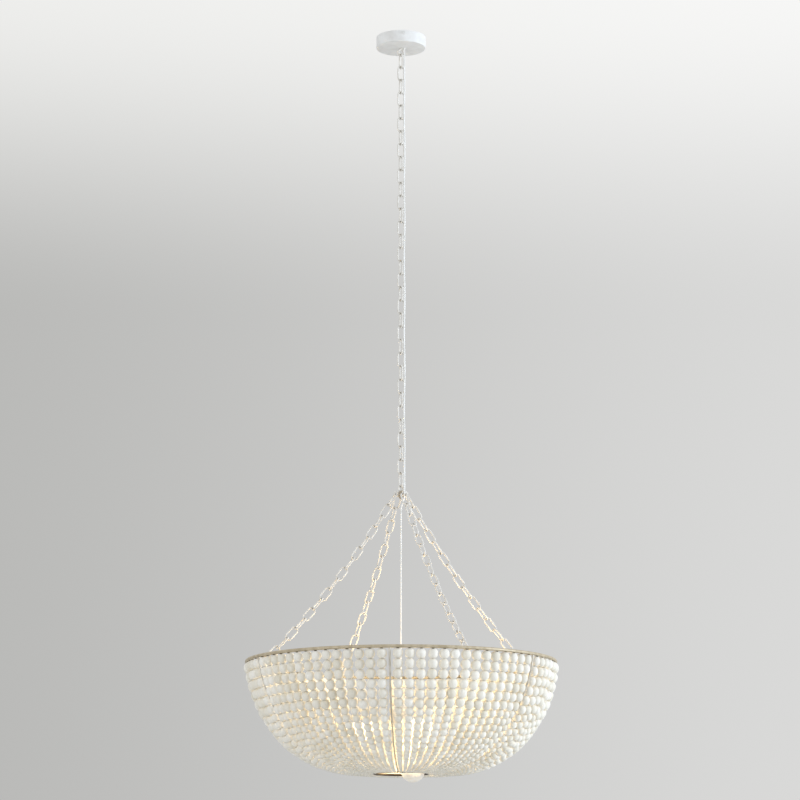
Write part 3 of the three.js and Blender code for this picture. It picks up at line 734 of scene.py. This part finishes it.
# Loop, nut, grommet and terminal block
loop = Form()
loop.add(turned(ring(LOOP_RADIUS, LOOP_WIRE, (0, 0, LOOP_MIDDLE), 56, 16, upright=True), FIXTURE_TURN))
collar = [(0, COLLAR_LOW - 1.2), (2.6, COLLAR_LOW - 0.6, 0.3), (COLLAR_RADIUS, COLLAR_LOW + 0.6, 0.7),
          (COLLAR_RADIUS, COLLAR_TOP, 0.5), (0, COLLAR_TOP)]
loop.add(lathe(soft(collar), 40))
loop.add(threaded(STUB_RADIUS, COLLAR_TOP - 0.5, STUB_TOP, *STUB_THREAD))
piece(loop, "hanging_loop", "ceiling_mount", ["canopy_loop"], "chain_paint", chain_paint)
plain(turned(hex_nut(*LOOP_NUT, bore=3.15), FIXTURE_TURN), "loop_nut", "ceiling_mount", "canopy_nut",
      "zinc_steel", zinc_steel)

cord_at = turned((np.array([(*CORD_PLACE, 0)]), []), FIXTURE_TURN)[0][0]
grommet = soft([(GROMMET_BORE, CANOPY_LOW - 1.5, 0.3), (4.2, CANOPY_LOW - 1.5, 0.7),
                (4.2, CANOPY_LOW - 0.3, 0.4), (3.3, CANOPY_LOW - 0.2, 0.2), (3.3, CANOPY_LOW + 1.1, 0.3),
                (GROMMET_BORE, CANOPY_LOW + 1.1, 0.2)], closed=True)
plain(moved(lathe(grommet, 36, closed=True), cord_at), "grommet_ring", "ceiling_mount", "cord_grommet",
      "white_plastic", white_plastic)

block_plan, side = [], BLOCK_SIDE
for _ in range(4):
    block_plan += side
    side = [(-y, x) for x, y in side]
block = moved(turned(prism(block_plan, BLOCK_LOW, BLOCK_TOP), FIXTURE_TURN), cord_at)
softened(plain(block, "terminal_housing", "ceiling_mount", "terminal_block", "white_plastic", white_plastic),
         0.7)


# Supply cord: it rides with what it hangs beside, and its straight pieces across the joints ride on no body
def cord_piece(name, node, path, body=None, radius=CORD_RADIUS):
    return plain(tube(path, radius, 20), name, body, node, "cord_jacket", cord_jacket)


def beside_chain(high, low, count, wave=0.0):
    """The cord's way beside the chain, with small waves that fade at its ends."""
    heights = np.linspace(high, low, count)
    share = (heights - low) / (high - low)
    fade = np.minimum(1, np.minimum(share, 1 - share) * 12)
    path = np.tile(cord_at, (count, 1))
    path[:, 2] = heights
    path[:, 0] += wave * fade * np.sin(share * TURN * CORD_WAVES[0])
    path[:, 1] += wave * fade * np.sin(share * TURN * CORD_WAVES[1] + 1)
    return path


cord_piece("cord_top", "cord_in_canopy", beside_chain(CORD_HEIGHTS[0], CORD_HEIGHTS[1], 8), "ceiling_mount")
joined = [("ceiling_mount", "top_link"), ("top_link", "main_chain"), ("main_chain", "bottom_link"),
          ("bottom_link", "hub_eye"), ("hub_eye", "bowl")]
spans = [(1, 2), (2, 3), (4, 5), (5, 6), (6, 7)]
for k, ((upper, lower), (first, last)) in enumerate(zip(joined, spans), 1):
    path = beside_chain(CORD_HEIGHTS[first], CORD_HEIGHTS[last], 14)
    bent = cord_piece(f"cord_flex_{k}", f"cord_bend_{k}", path)
    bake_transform(bent)
run = beside_chain(CORD_HEIGHTS[3], CORD_HEIGHTS[4], 90, CORD_WAVE)
cord_piece("cord_run", "cord_on_chain", run, "main_chain")

tail_corners = [(*cord_at[:2], CORD_HEIGHTS[7]), (*cord_at[:2], CORD_LEAN), (0, 0, CORD_LEAN),
                (0, 0, CORD_CENTRED)]
tail, _ = bezier(tail_corners, 24)
cord_piece("cord_tail", "cord_at_hub", tail, "bowl", np.linspace(CORD_RADIUS, CORD_DROP_RADIUS, len(tail)))
drop = np.zeros((30, 3))
drop[:, 2] = np.linspace(CORD_CENTRED, CORD_END, 30)
cord_piece("cord_drop", "cord_to_lamps", drop, "lamp_cluster", CORD_DROP_RADIUS)


# Chain links
def link_shape(span, seed):
    """An oval link in the XZ plane about the origin, with a weld on one side, and its wear."""
    shake = random.Random(seed)
    bend = (LINK_WIDTH - WIRE) / 2
    reach = (span + LINK_TOUCH) / 2 - bend
    path, endness = [], []
    arc_steps, side_steps, sides = 12, 5, 12
    for side in (1, -1):
        for i in range(arc_steps + 1):
            angle = math.pi * i / arc_steps
            path.append((side * bend * math.cos(angle), 0, side * (reach + bend * math.sin(angle))))
            endness.append(math.sin(angle))
        for i in range(1, side_steps):
            path.append((-side * bend, 0, side * reach * (1 - 2 * i / side_steps)))
            endness.append(0)
    radius = np.full(len(path), WIRE / 2)
    weld = arc_steps + 1 + side_steps // 2
    radius[weld - 1:weld + 1] *= LINK_WELD
    points, faces = tube(path, radius, sides, closed=True, normal=(0, 1, 0))
    centre = np.repeat(np.array(path), sides, axis=0)
    distance = np.maximum(1, np.linalg.norm(centre, axis=1))
    inward = -np.sum((points - centre) * centre, axis=1) / (WIRE / 2 * distance)
    wear = np.repeat(endness, sides) ** 2 * np.clip(inward + 0.35, 0, 1)
    twist = shake.uniform(-LINK_TWIST, LINK_TWIST)
    return turned((points, faces), twist), wear


def hung_chain(name, body, node, start, count, first_turned, seed):
    """A straight run of links below its start, each a quarter turn from the last."""
    form = Form()
    for i in range(count):
        shape, wear = link_shape(MAIN_SPAN, seed + i)
        if (i % 2 == 0) == first_turned:
            shape = turned(shape, 90)
        shape = moved(shape, (0, 0, start - MAIN_SPAN / 2 - i * MAIN_PITCH))
        form.add(turned(shape, FIXTURE_TURN), wear=wear)
    piece(form, name, body, [node], "chain_paint", chain_paint)


hung_chain("chain_link_top", "top_link", "top_link", TOP_LINK_START, 1, True, 11)
hung_chain("chain_links", "main_chain", "main_chain", MAIN_START, MAIN_COUNT, False, 20)
hung_chain("chain_link_low", "bottom_link", "bottom_link", LOW_LINK_START, 1, True, 77)

# Hub: eye on its stem, drum with four side eyes, and nut
hook = Form()
hook.add(turned(ring(HUB_EYE_RADIUS, WIRE, (0, 0, HUB_EYE_MIDDLE), 44, 14, upright=True), FIXTURE_TURN), 1)
neck_top = HUB_EYE_MIDDLE - HUB_EYE_RADIUS
stem = [(0, HUB_STEM_LOW), (HUB_STEM_RADIUS, HUB_STEM_LOW, 0.5), (HUB_STEM_RADIUS, SPOOL_TOP + 0.1),
        (HUB_NECK_RADIUS, SPOOL_TOP + 0.2, 0.2), (HUB_NECK_RADIUS, neck_top, 0.8), (0, neck_top)]
hook.add(lathe(soft(stem), 32))
piece(hook, "hub_hook", "hub_eye", ["hub_eye"], "ring_metal", hub_metal, chain_paint)

spool = soft(
    [(SPOOL_BORE, SPOOL_LOW, 0.3), (SPOOL_RADIUS, SPOOL_LOW, 1.3), (SPOOL_RADIUS, SPOOL_LOW + 2.6, 0.4),
     (SPOOL_WAIST, SPOOL_LOW + 3.3, 0.5), (SPOOL_WAIST, SPOOL_TOP - 3.3, 0.5),
     (SPOOL_RADIUS, SPOOL_TOP - 2.6, 0.4), (SPOOL_RADIUS, SPOOL_TOP, 1.3), (SPOOL_BORE, SPOOL_TOP, 0.3)],
    closed=True,
)
drum = Form().add(lathe(spool, 56, closed=True))
side_eye = ring(SIDE_EYE_RADIUS, SIDE_EYE_WIRE, (SIDE_EYE_PLACE, 0, SIDE_EYE_Z), 40, 14, upright=True)
for k in range(4):
    drum.add(turned(side_eye, FIXTURE_TURN + 90 * k), 1)
piece(drum, "hub_drum", "bowl", ["hub_spool"], "ring_metal", hub_metal, chain_paint)
plain(turned(hex_nut(*HUB_NUT, bore=2.6), FIXTURE_TURN), "hub_lock_nut", "hub_eye", "hub_nut", "ring_metal",
      hub_metal)


# Side chains down to the eyelets, with a slight sag inwards
def leaning(points, angle):
    """Points turned about Y, so that what hangs straight leads towards +X."""
    c, s = math.cos(angle), math.sin(angle)
    return points @ np.array([[c, 0, s], [0, 1, 0], [-s, 0, c]])


def side_run():
    """A side chain's links from its start: how far each leans, and its middle, with the run's end."""
    lean = math.atan2(4 * SIDE_SAG, SIDE_COUNT * SIDE_PITCH)
    start, end, run = np.zeros(3), np.zeros(3), []
    for i in range(SIDE_COUNT):
        angle = lean * (2 * i / (SIDE_COUNT - 1) - 1)
        ahead = np.array([math.sin(angle), 0, -math.cos(angle)])
        run.append((angle, start + ahead * SIDE_SPAN / 2))
        end = start + ahead * SIDE_SPAN
        start = start + ahead * SIDE_PITCH
    return run, end


slope = math.atan2(EYELET_PLACE - EYELET_RADIUS - SIDE_EYE_PLACE, SIDE_EYE_Z - EYELET_Z)
chain_start = np.array([SIDE_EYE_PLACE + SIDE_EYE_SLACK * math.sin(slope), 0,
                        SIDE_EYE_Z - SIDE_EYE_SLACK * math.cos(slope)])
side_places, side_end = side_run()
run_slope = slope - math.atan2(side_end[0], -side_end[2])
shank_line = unit([RING_RADIUS - EYELET_PLACE, 0, RING_Z - EYELET_Z])
eyelet_place = np.array([EYELET_PLACE, 0, EYELET_Z])
shank = [eyelet_place + shank_line * reach for reach, radius in EYELET_SHANK]
shank_radii = [radius for reach, radius in EYELET_SHANK]
for k in range(4):
    turn = FIXTURE_TURN + 90 * k
    form = Form()
    for i, (lean, middle) in enumerate(side_places):
        (points, faces), wear = link_shape(SIDE_SPAN, 100 + 20 * k + i)
        points, faces = turned((points, faces), 90 if i % 2 == 0 else 0)
        points = leaning(leaning(points, lean) + middle, run_slope) + chain_start
        form.add(turned((points, faces), turn), wear=wear)
    piece(form, f"bowl_chain_{k + 1}", "bowl", [f"side_chain_{k + 1}"], "chain_paint", chain_paint)

    eyelet = Form().add(turned(ring(EYELET_RADIUS, WIRE, eyelet_place, 40, 14), turn))
    eyelet.add(turned(tube(shank, shank_radii, 20, normal=(0, 1, 0)), turn))
    piece(eyelet, f"rim_eyelet_{k + 1}", "bowl", [f"ring_eyelet_{k + 1}"], "ring_metal", ring_metal)


# Rings and ribs
rim = ring(RING_RADIUS, RING_BAR, (0, 0, RING_Z), 216, 18)
plain(rim, "rim_rod", "bowl", "top_ring", "ring_metal", ring_metal)
low_ring = ring(LOW_RING_RADIUS, LOW_RING_BAR, (0, 0, LOW_RING_Z), 120, 16)
plain(low_ring, "lower_ring", "bowl", "bottom_ring", "ring_metal", low_metal)

rib_line, rib_along = bezier(RIB_CURVE, 48)
rib_path = np.stack([rib_line[:, 0], np.zeros(len(rib_line)), rib_line[:, 1]], 1)
welds = np.exp(-(rib_along / WELD_REACH) ** 2) + np.exp(-((rib_along[-1] - rib_along) / WELD_REACH) ** 2)
rod = tube(rib_path, RIB_RADIUS + WELD_SWELL * welds, 16, normal=(0, 1, 0))
for k in range(RIB_COUNT):
    plain(turned(rod, FIXTURE_TURN + BAY_TURN * k), f"rib_rod_{k + 1}", "bowl", f"rib_{k + 1}", "ring_metal",
          rib_metal)


# Bead strands
def bead_pattern(sides, rows):
    """A bead of radius one about Z with a bore: its points and its faces of four corners."""
    start = math.asin(BEAD_BORE)
    angles = np.linspace(start, math.pi - start, rows + 1)
    radii = np.sin(angles) ** (2 / BEAD_FULLNESS)
    heights = -np.sign(np.cos(angles)) * abs(np.cos(angles)) ** (2 / BEAD_FULLNESS)
    points, faces = lathe(zip(radii, np.clip(heights, -BEAD_FLAT, BEAD_FLAT)), sides, closed=True)
    return points, np.array(faces)


# The smallest bead that each pattern is for: larger beads have more faces
PATTERNS = [(22, bead_pattern(18, 10)), (18, bead_pattern(16, 9)), (14, bead_pattern(13, 8)),
            (9, bead_pattern(11, 6)), (0, bead_pattern(8, 5))]
strand_line, strand_along = bezier(STRAND_CURVE, 241)
strand_length = strand_along[-1]
strand_ahead = unit(np.gradient(strand_line, axis=0))
strand_out = np.stack([-strand_ahead[:, 1], strand_ahead[:, 0]], 1)


def strand_angles(across):
    """How far each point of a strand is turned from its bay's first rib, and from the next strand."""
    share = strand_along / strand_length
    sizes = np.interp(share, *zip(*BEAD_SIZES_ALONG))
    clear = RIB_GAP_TOP + (RIB_GAP_END - RIB_GAP_TOP) * share
    edge = np.arcsin((RIB_RADIUS + sizes / 2 + clear) / strand_line[:, 0])
    width = math.radians(BAY_TURN) - 2 * edge
    return edge + width * across, width / (STRANDS_PER_BAY - 1)


def bead_rows():
    """Distances along a strand, and sizes, of its beads."""
    step = strand_angles(0)[1] * strand_line[:, 0]
    rows, place = [], 0.0
    for nominal, count in BEAD_RUNS:
        for _ in range(count):
            room = np.interp(place + nominal / 2, strand_along, step) * BEAD_ROOM
            size = min(nominal, room)
            if place + size > strand_length - 0.5:
                return rows
            rows.append((place + size * BEAD_PITCH / 2, size))
            place += size * BEAD_PITCH
    return rows


ROWS = bead_rows()


def strand_path(bay, across, sway):
    """The middle line of a strand, swayed sideways between its ends, and the angle of its top."""
    hump = np.sin(math.pi * strand_along / strand_length) ** 0.7
    angles, step = strand_angles(across)
    room = step * strand_line[:, 0] - np.interp(strand_along, *zip(*ROWS))
    bay_start = math.radians(FIXTURE_TURN + BAY_TURN * bay)
    angles = angles + bay_start + sway * hump * room / 2 / strand_line[:, 0]
    fuller = math.radians(FULLER_AZIMUTH - 90)
    free = math.sin(math.pi * across) ** 0.6
    reach = FULLER_REACH * free * hump * np.clip(np.cos(angles - fuller), 0, 1) ** 1.5
    radii = strand_line[:, 0] + reach * strand_out[:, 0]
    heights = strand_line[:, 1] + reach * strand_out[:, 1]
    return np.stack([radii * np.cos(angles), radii * np.sin(angles), heights], 1), angles[0]


def strand_hook(top):
    """The wire's way round the ring, and a dark coil of it under the ring's front, just above the strand's
    top bead.
    """
    inward, beside = (math.cos(top), math.sin(top)), (-math.sin(top), math.cos(top))

    def at(radius, z, aside=0.0):
        return [radius * inward[0] + aside * beside[0], radius * inward[1] + aside * beside[1], z]

    reach = RING_BAR / 2 + STRAND_WIRE
    loop = [at(RING_RADIUS + reach * math.cos(a), RING_Z + reach * math.sin(a))
            for a in np.radians(np.linspace(*HOOK_REACH, 13))]
    coil = []
    for a in np.linspace(0, TURN * COIL_TURNS, 8 * COIL_TURNS + 1):
        aside = COIL_HALF * (2 * a / (TURN * COIL_TURNS) - 1)
        coil.append(at(COIL_PLACE[0] + COIL_RADIUS * math.cos(a), COIL_PLACE[1] + COIL_RADIUS * math.sin(a), aside))
    return np.array(loop), np.array(coil)


def bead_panel(bay):
    """The beads of one bay as points, faces, grain and tone, and the wires that carry them."""
    shake = random.Random(500 + bay)
    clouds, quads, grains, tones = [], [], [], []
    wires = Form()
    total = 0
    for index in range(STRANDS_PER_BAY):
        least = -RIB_SWAY if index == 0 else -1
        most = RIB_SWAY if index == STRANDS_PER_BAY - 1 else 1
        sway = min(most, max(least, shake.gauss(0, SWAY_SPREAD)))
        path, top = strand_path(bay, index / (STRANDS_PER_BAY - 1), sway)
        ahead = unit(np.gradient(path, axis=0))
        strand_tone = shake.uniform(-STRAND_TONE, STRAND_TONE)
        drift = 1 + shake.gauss(0, ROW_DRIFT)
        for row, size in ROWS:
            place = min(row * drift, strand_length - size / 2)
            centre = np.array([np.interp(place, strand_along, path[:, i]) for i in range(3)])
            axis = unit([np.interp(place, strand_along, ahead[:, i]) for i in range(3)])
            outward = unit(np.array([centre[0], centre[1], 0]))
            side = unit(np.cross(axis, outward))
            loose = min(BEAD_LOOSE_MOST, size * BEAD_LOOSE)
            centre = centre - outward * abs(shake.gauss(0, loose)) + side * shake.gauss(0, loose)
            axis = unit(axis + side * shake.gauss(0, BEAD_LEAN) + outward * shake.gauss(0, BEAD_LEAN))
            spin = shake.uniform(0, TURN)
            first = unit(np.cross(axis, side * math.cos(spin) + np.cross(axis, side) * math.sin(spin)))
            second = np.cross(axis, first)
            radius = size / 2 * shake.uniform(BEAD_LEAST, 1.0)
            points, faces = next(pattern for smallest, pattern in PATTERNS if size >= smallest)
            scaled = points * (radius, radius, size / 2 * BEAD_PITCH / BEAD_FLAT)
            clouds.append(scaled @ np.array([first, second, axis]) + centre)
            quads.append(faces + total)
            total += len(points)
            offset = np.array([shake.uniform(0, GRAIN_REACH) for _ in range(3)])
            grains.append(scaled / GRAIN_SIZE + offset)
            tone = min(1, max(0, shake.gauss(BEAD_TONE, BEAD_TONE_SPREAD) + strand_tone))
            tones.append(np.full(len(points), tone))
        hook_line, coil = strand_hook(top)
        end = path[-1] * np.array([WIRE_END, WIRE_END, 1])
        wires.add(tube(np.concatenate([hook_line, path[:-1:10], [end]]), STRAND_WIRE, 6))
        wires.add(tube(coil, STRAND_WIRE, 5))
    clouds, quads, grains, tones = map(np.concatenate, (clouds, quads, grains, tones))
    return clouds, quads, grains, tones, wires


def bead_piece(bay):
    """One bay's beads as a piece, and their wires as another."""
    points, quads, grain, tone, wires = bead_panel(bay)
    name = f"beads_{bay + 1}"
    node = f"bead_panel_{bay + 1}"
    mesh = bpy.data.meshes.new(name)
    mesh.vertices.add(len(points))
    mesh.vertices.foreach_set("co", (points * MM).astype(np.float32).ravel())
    mesh.loops.add(quads.size)
    mesh.loops.foreach_set("vertex_index", quads.astype(np.int32).ravel())
    mesh.polygons.add(len(quads))
    mesh.polygons.foreach_set("loop_start", np.arange(0, quads.size, 4, dtype=np.int32))
    mesh.update(calc_edges=True)
    grains = mesh.attributes.new("grain", "FLOAT_VECTOR", "POINT")
    grains.data.foreach_set("vector", grain.astype(np.float32).ravel())
    tones = mesh.attributes.new("tone", "FLOAT", "POINT")
    tones.data.foreach_set("value", tone.astype(np.float32))
    finished(mesh, name, "bowl", [node], [bead_wood], 42)
    piece(wires, f"strand_wires_{bay + 1}", "bowl", [node], "ring_metal", wire_metal)


for bay in range(RIB_COUNT):
    bead_piece(bay)

# Lamp cluster: grip, body, sockets and bulbs
cord_seat = CORD_END - 0.3
grip_outline = soft(
    [(0, GRIP_LOW), (GRIP_RADIUS, GRIP_LOW, 0.8), (GRIP_RADIUS, GRIP_LOW + 6, 0.8),
     (8.2, GRIP_LOW + 6.6, 0.3), (7.6, GRIP_LOW + 7.6, 0.3), (5.2, GRIP_TOP - 4, 1.5), (4, GRIP_TOP, 0.8),
     (GRIP_BORE, GRIP_TOP, 0.4), (GRIP_BORE, cord_seat), (0, cord_seat)]
)
plain(lathe(grip_outline, 40), "strain_grip", "lamp_cluster", "cord_grip", "white_plastic", white_plastic)

groove = CLUSTER_RADIUS - 0.6
body_outline = soft(
    [(0, CLUSTER_LOW), (CLUSTER_RADIUS - 6, CLUSTER_LOW, 1.0), (CLUSTER_RADIUS, CLUSTER_LOW + 6, 4.0),
     (CLUSTER_RADIUS, LAMP_HEIGHT - 11, 0.4), (groove, LAMP_HEIGHT - 10.4, 0.2),
     (groove, LAMP_HEIGHT - 9.6, 0.2), (CLUSTER_RADIUS, LAMP_HEIGHT - 9, 0.4),
     (CLUSTER_RADIUS, CLUSTER_TOP - 6, 4.0), (CLUSTER_RADIUS - 6, CLUSTER_TOP, 1.0), (0, CLUSTER_TOP)]
)
plain(lathe(body_outline, 64), "lamp_body", "lamp_cluster", "lamp_cluster_body", "canopy_paint", lamp_paint)


def socket_form(back, arm):
    """A lamp socket along +Z: arm, cup with a ridge, and the threaded shell inside."""
    low, mouth, groove = -back, arm + SOCKET_LENGTH, SOCKET_RADIUS - 0.6
    outline = soft(
        [(0, low), (ARM_RADIUS, low, 2.0 if back else 0.6), (ARM_RADIUS, arm, 0.6),
         (SOCKET_RADIUS - 5, arm, 1.5), (SOCKET_RADIUS, arm + 5, 2.0), (SOCKET_RADIUS, arm + 30, 0.3),
         (groove, arm + 30.5, 0.2), (groove, arm + 31.5, 0.2), (SOCKET_RADIUS, arm + 32, 0.3),
         (SOCKET_RADIUS, mouth, 0.9), (SOCKET_MOUTH, mouth, 0.7), (SOCKET_MOUTH, arm + 8, 0.8), (0, arm + 8)]
    )
    form = Form().add(lathe(outline, 56))

    def ridge(angles, radius, z):
        return radius + 0.35 * np.cos(TURN * z / BASE_PITCH - angles)

    heights = np.linspace(arm + 9, arm + 36, 44)
    wall = [(15.0, z) for z in heights] + [(14.4, z) for z in heights[::-1]]
    form.add(lathe(wall, 40, closed=True, warp=ridge), 1)
    return form


BULB_GLASS = [(0, 24.5), (12, 24.5, 0.5), (13.6, 27.5, 0.8), (14.6, 31), (14.9, 36), (15.4, 41), (16.9, 46.5),
              (19.3, 52), (22.4, 57.5), (25.4, 63), (27.8, 69), (29.3, 74.5)]


def bulb_form():
    """A bulb along +Z: tip, insulator, threaded base and frosted globe."""
    angles = np.linspace(0.02, math.pi / 2, 16)
    arc = [(GLOBE * math.cos(a), GLOBE_PLACE + GLOBE * math.sin(a)) for a in angles]
    glass = soft(BULB_GLASS) + arc[:-1] + [(0, GLOBE_PLACE + GLOBE)]
    form = Form().add(lathe(glass, 56))
    form.add(lathe(soft([(0, 0), (4.6, 0, 1.0), (5.2, 1.4, 0.3), (0, 1.6)]), 32), 1)
    form.add(lathe(soft([(0, 1.0), (5.4, 1.0, 0.3), (11.4, 4.4, 0.6), (0, 4.6)]), 40), 2)
    heights = np.linspace(BASE_LOW, BASE_TOP, 40)

    def ridge(angles, radius, z):
        fade = min(1, (z - BASE_LOW) / 3, (BASE_TOP - z) / 3) if BASE_LOW <= z <= BASE_TOP else 0
        return radius + (0.5 * fade * np.cos(TURN * z / BASE_PITCH - angles) if radius > 11.9 else 0)

    shell = [(0, BASE_LOW), (11.6, BASE_LOW)] + [(BASE_RADIUS, z) for z in heights]
    shell += [(12.5, 24.2), (12.7, 25.6), (12.2, 26.2), (0, 26.2)]
    form.add(lathe(shell, 48, warp=ridge), 1)
    return form


def aimed_form(form, origin, direction):
    """A gathered form, aimed as one."""
    form.points = list(aimed((np.array(form.points), []), origin, direction)[0])
    return form


droop = math.radians(LAMP_DROOP)
arm_reach = (CLUSTER_RADIUS + ARM_CLEAR + ARM_RADIUS * math.sin(droop)) / math.cos(droop)
lamps = []  # each socket's start and direction, its arm, its length behind the pivot, and its body
for azimuth in LAMP_AZIMUTHS:
    direction = toward(azimuth, math.cos(droop), -math.sin(droop))
    origin = direction * arm_reach + np.array([0, 0, LAMP_HEIGHT])
    lamps.append((origin, direction, SOCKET_ARM, 0, "lamp_cluster"))
lean = math.radians(DOWN_LEAN)
down = np.array([math.sin(lean), 0, -math.cos(lean)])
lamps.append((np.array([0, 0, PIVOT_Z]), down, DOWN_ARM, DOWN_BACK, "down_lamp"))
for k, (origin, direction, arm, back, body) in enumerate(lamps, 1):
    cup = aimed_form(socket_form(back, arm), origin, direction)
    piece(cup, f"lamp_cup_{k}", body, [f"lamp_socket_{k}"], "white_plastic", lamp_paint, brass_plate)
    bulb = aimed_form(bulb_form(), origin + direction * (arm + BULB_SEAT), direction)
    piece(bulb, f"lamp_bulb_{k}", f"bulb_{k}", [f"bulb_{k}"], "bulb_glass",
          calm_glass if back else lit_glass, zinc_steel, dark_plastic, angle=50)

plate = [(0, FORK_LOW), (FORK_RADIUS, FORK_LOW, 0.6), (FORK_RADIUS, FORK_TOP, 0.6), (0, FORK_TOP)]
fork = Form().add(lathe(soft(plate), 48))
ear = [(EAR_RADIUS, EAR_HEIGHT), (-EAR_RADIUS, EAR_HEIGHT)]
ear += [(EAR_RADIUS * math.cos(a), EAR_RADIUS * math.sin(a)) for a in np.linspace(math.pi, TURN, 17)]
for low, high in EAR_SIDES:
    points, faces = prism(ear, low, high)
    fork.add((np.stack([points[:, 0], -points[:, 2], points[:, 1] + PIVOT_Z], 1), faces))
softened(piece(fork, "tilt_fork", "lamp_cluster", ["swivel_fork"], "canopy_paint", lamp_paint), 0.35)

pin_half = [(2, 8.4), (2.6, 8.5, 0.3), (2.6, PIN_HALF, 0.6), (0, PIN_HALF)]
pin = soft([(radius, -z, *fillet) for radius, z, *fillet in reversed(pin_half)] + pin_half)
plain(aimed(lathe(pin, 32), (0, 0, PIVOT_Z), (0.001, 1, 0)), "tilt_pin", "lamp_cluster", "swivel_pin",
      "zinc_steel", zinc_steel)

# Floor
floor = bpy.data.meshes.new("floor")
corners = [(x * FLOOR_HALF, y * FLOOR_HALF, 0) for x, y in ((-1, -1), (1, -1), (1, 1), (-1, 1))]
floor.from_pydata(corners, [], [(0, 1, 2, 3)])
floor_object = in_scene("floor", floor)
floor_object.location.z = FLOOR_Z
floor.materials.append(Finish("pale_floor", Roughness=0.8, Base_Color="dfdedb").material)

# World: even light, and a pale background for what is seen directly, reflected or through glass. The
# background has painted light: darker on the left, lighter on the right where the light falls, and lighter
# above where the ceiling is.
world = bpy.data.worlds.new("room")
bpy.context.scene.world = world
world.use_nodes = True
room = Nodes(world.node_tree)
room.tree.nodes.clear()
ray = room.node("ShaderNodeLightPath").outputs
seen = room.math("MAXIMUM", ray["Is Camera Ray"], ray["Is Glossy Ray"])
seen = room.math("MAXIMUM", seen, ray["Is Transmission Ray"])
split = room.node("ShaderNodeSeparateXYZ", Vector=room.coordinates("Generated")).outputs
# Painted light: the background's wall and ceiling grow lighter towards the right
painted_light_rightward = room.between(split["X"], -0.2, 0.2, curve="SMOOTHSTEP")
upward = room.between(split["Z"], 0.22, 0.34, curve="SMOOTHSTEP")
wall = room.mix(painted_light_rightward, "b8b8b6", "dbdbda")
ceiling = room.mix(painted_light_rightward, "eeeeec", "f8f8f7")
shown = room.node("ShaderNodeBackground", Color=room.mix(upward, wall, ceiling))
even = room.node("ShaderNodeBackground", Color="f4f8ff", Strength=0.71)
either = room.node("ShaderNodeMixShader")
for socket, value in zip(either.inputs, (seen, even.outputs[0], shown.outputs[0])):
    room.put(socket, value)
room.node("ShaderNodeOutputWorld", Surface=either.outputs[0])


# Lamps of the room: a soft key from the right, a weak one from the left
def area_light(name, place, target, width, height, power, colour):
    """A soft lamp that faces its target, unseen by the camera."""
    data = bpy.data.lights.new(name, "AREA")
    data.shape = "RECTANGLE"
    data.size, data.size_y = width, height
    data.energy = power
    data.color = tint(colour)[:3]
    light = in_scene(name, data)
    light.location = place
    light.rotation_euler = (Vector(target) - Vector(place)).to_track_quat("-Z", "Y").to_euler()
    light.visible_camera = False


area_light("key", place=(6.7, -1.5, -0.8), target=(0, 0, -1.6), width=2.0, height=2.4, power=325,
           colour="e2eeff")
area_light("fill", place=(-5.9, -5.7, -1.3), target=(0, 0, -1.4), width=2.6, height=2.6, power=138,
           colour="f8faff")

# Warm light of the three bulbs inside the bowl
for k, (origin, direction, arm, *_) in enumerate(lamps[:3], 1):
    data = bpy.data.lights.new(f"glow_{k}", "POINT")
    data.energy = GLOW_POWER
    data.color = tint("ffe0ac")[:3]
    data.shadow_soft_size = GLOW_RADIUS
    glow = in_scene(f"glow_{k}", data)
    glow.location = (origin + direction * (arm + BULB_SEAT + GLOBE_PLACE)) * MM
    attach(glow, "lamp_cluster")
    bpy.data.objects[f"lamp_bulb_{k}"].visible_shadow = False

bpy.context.scene.view_settings.view_transform = "Standard"
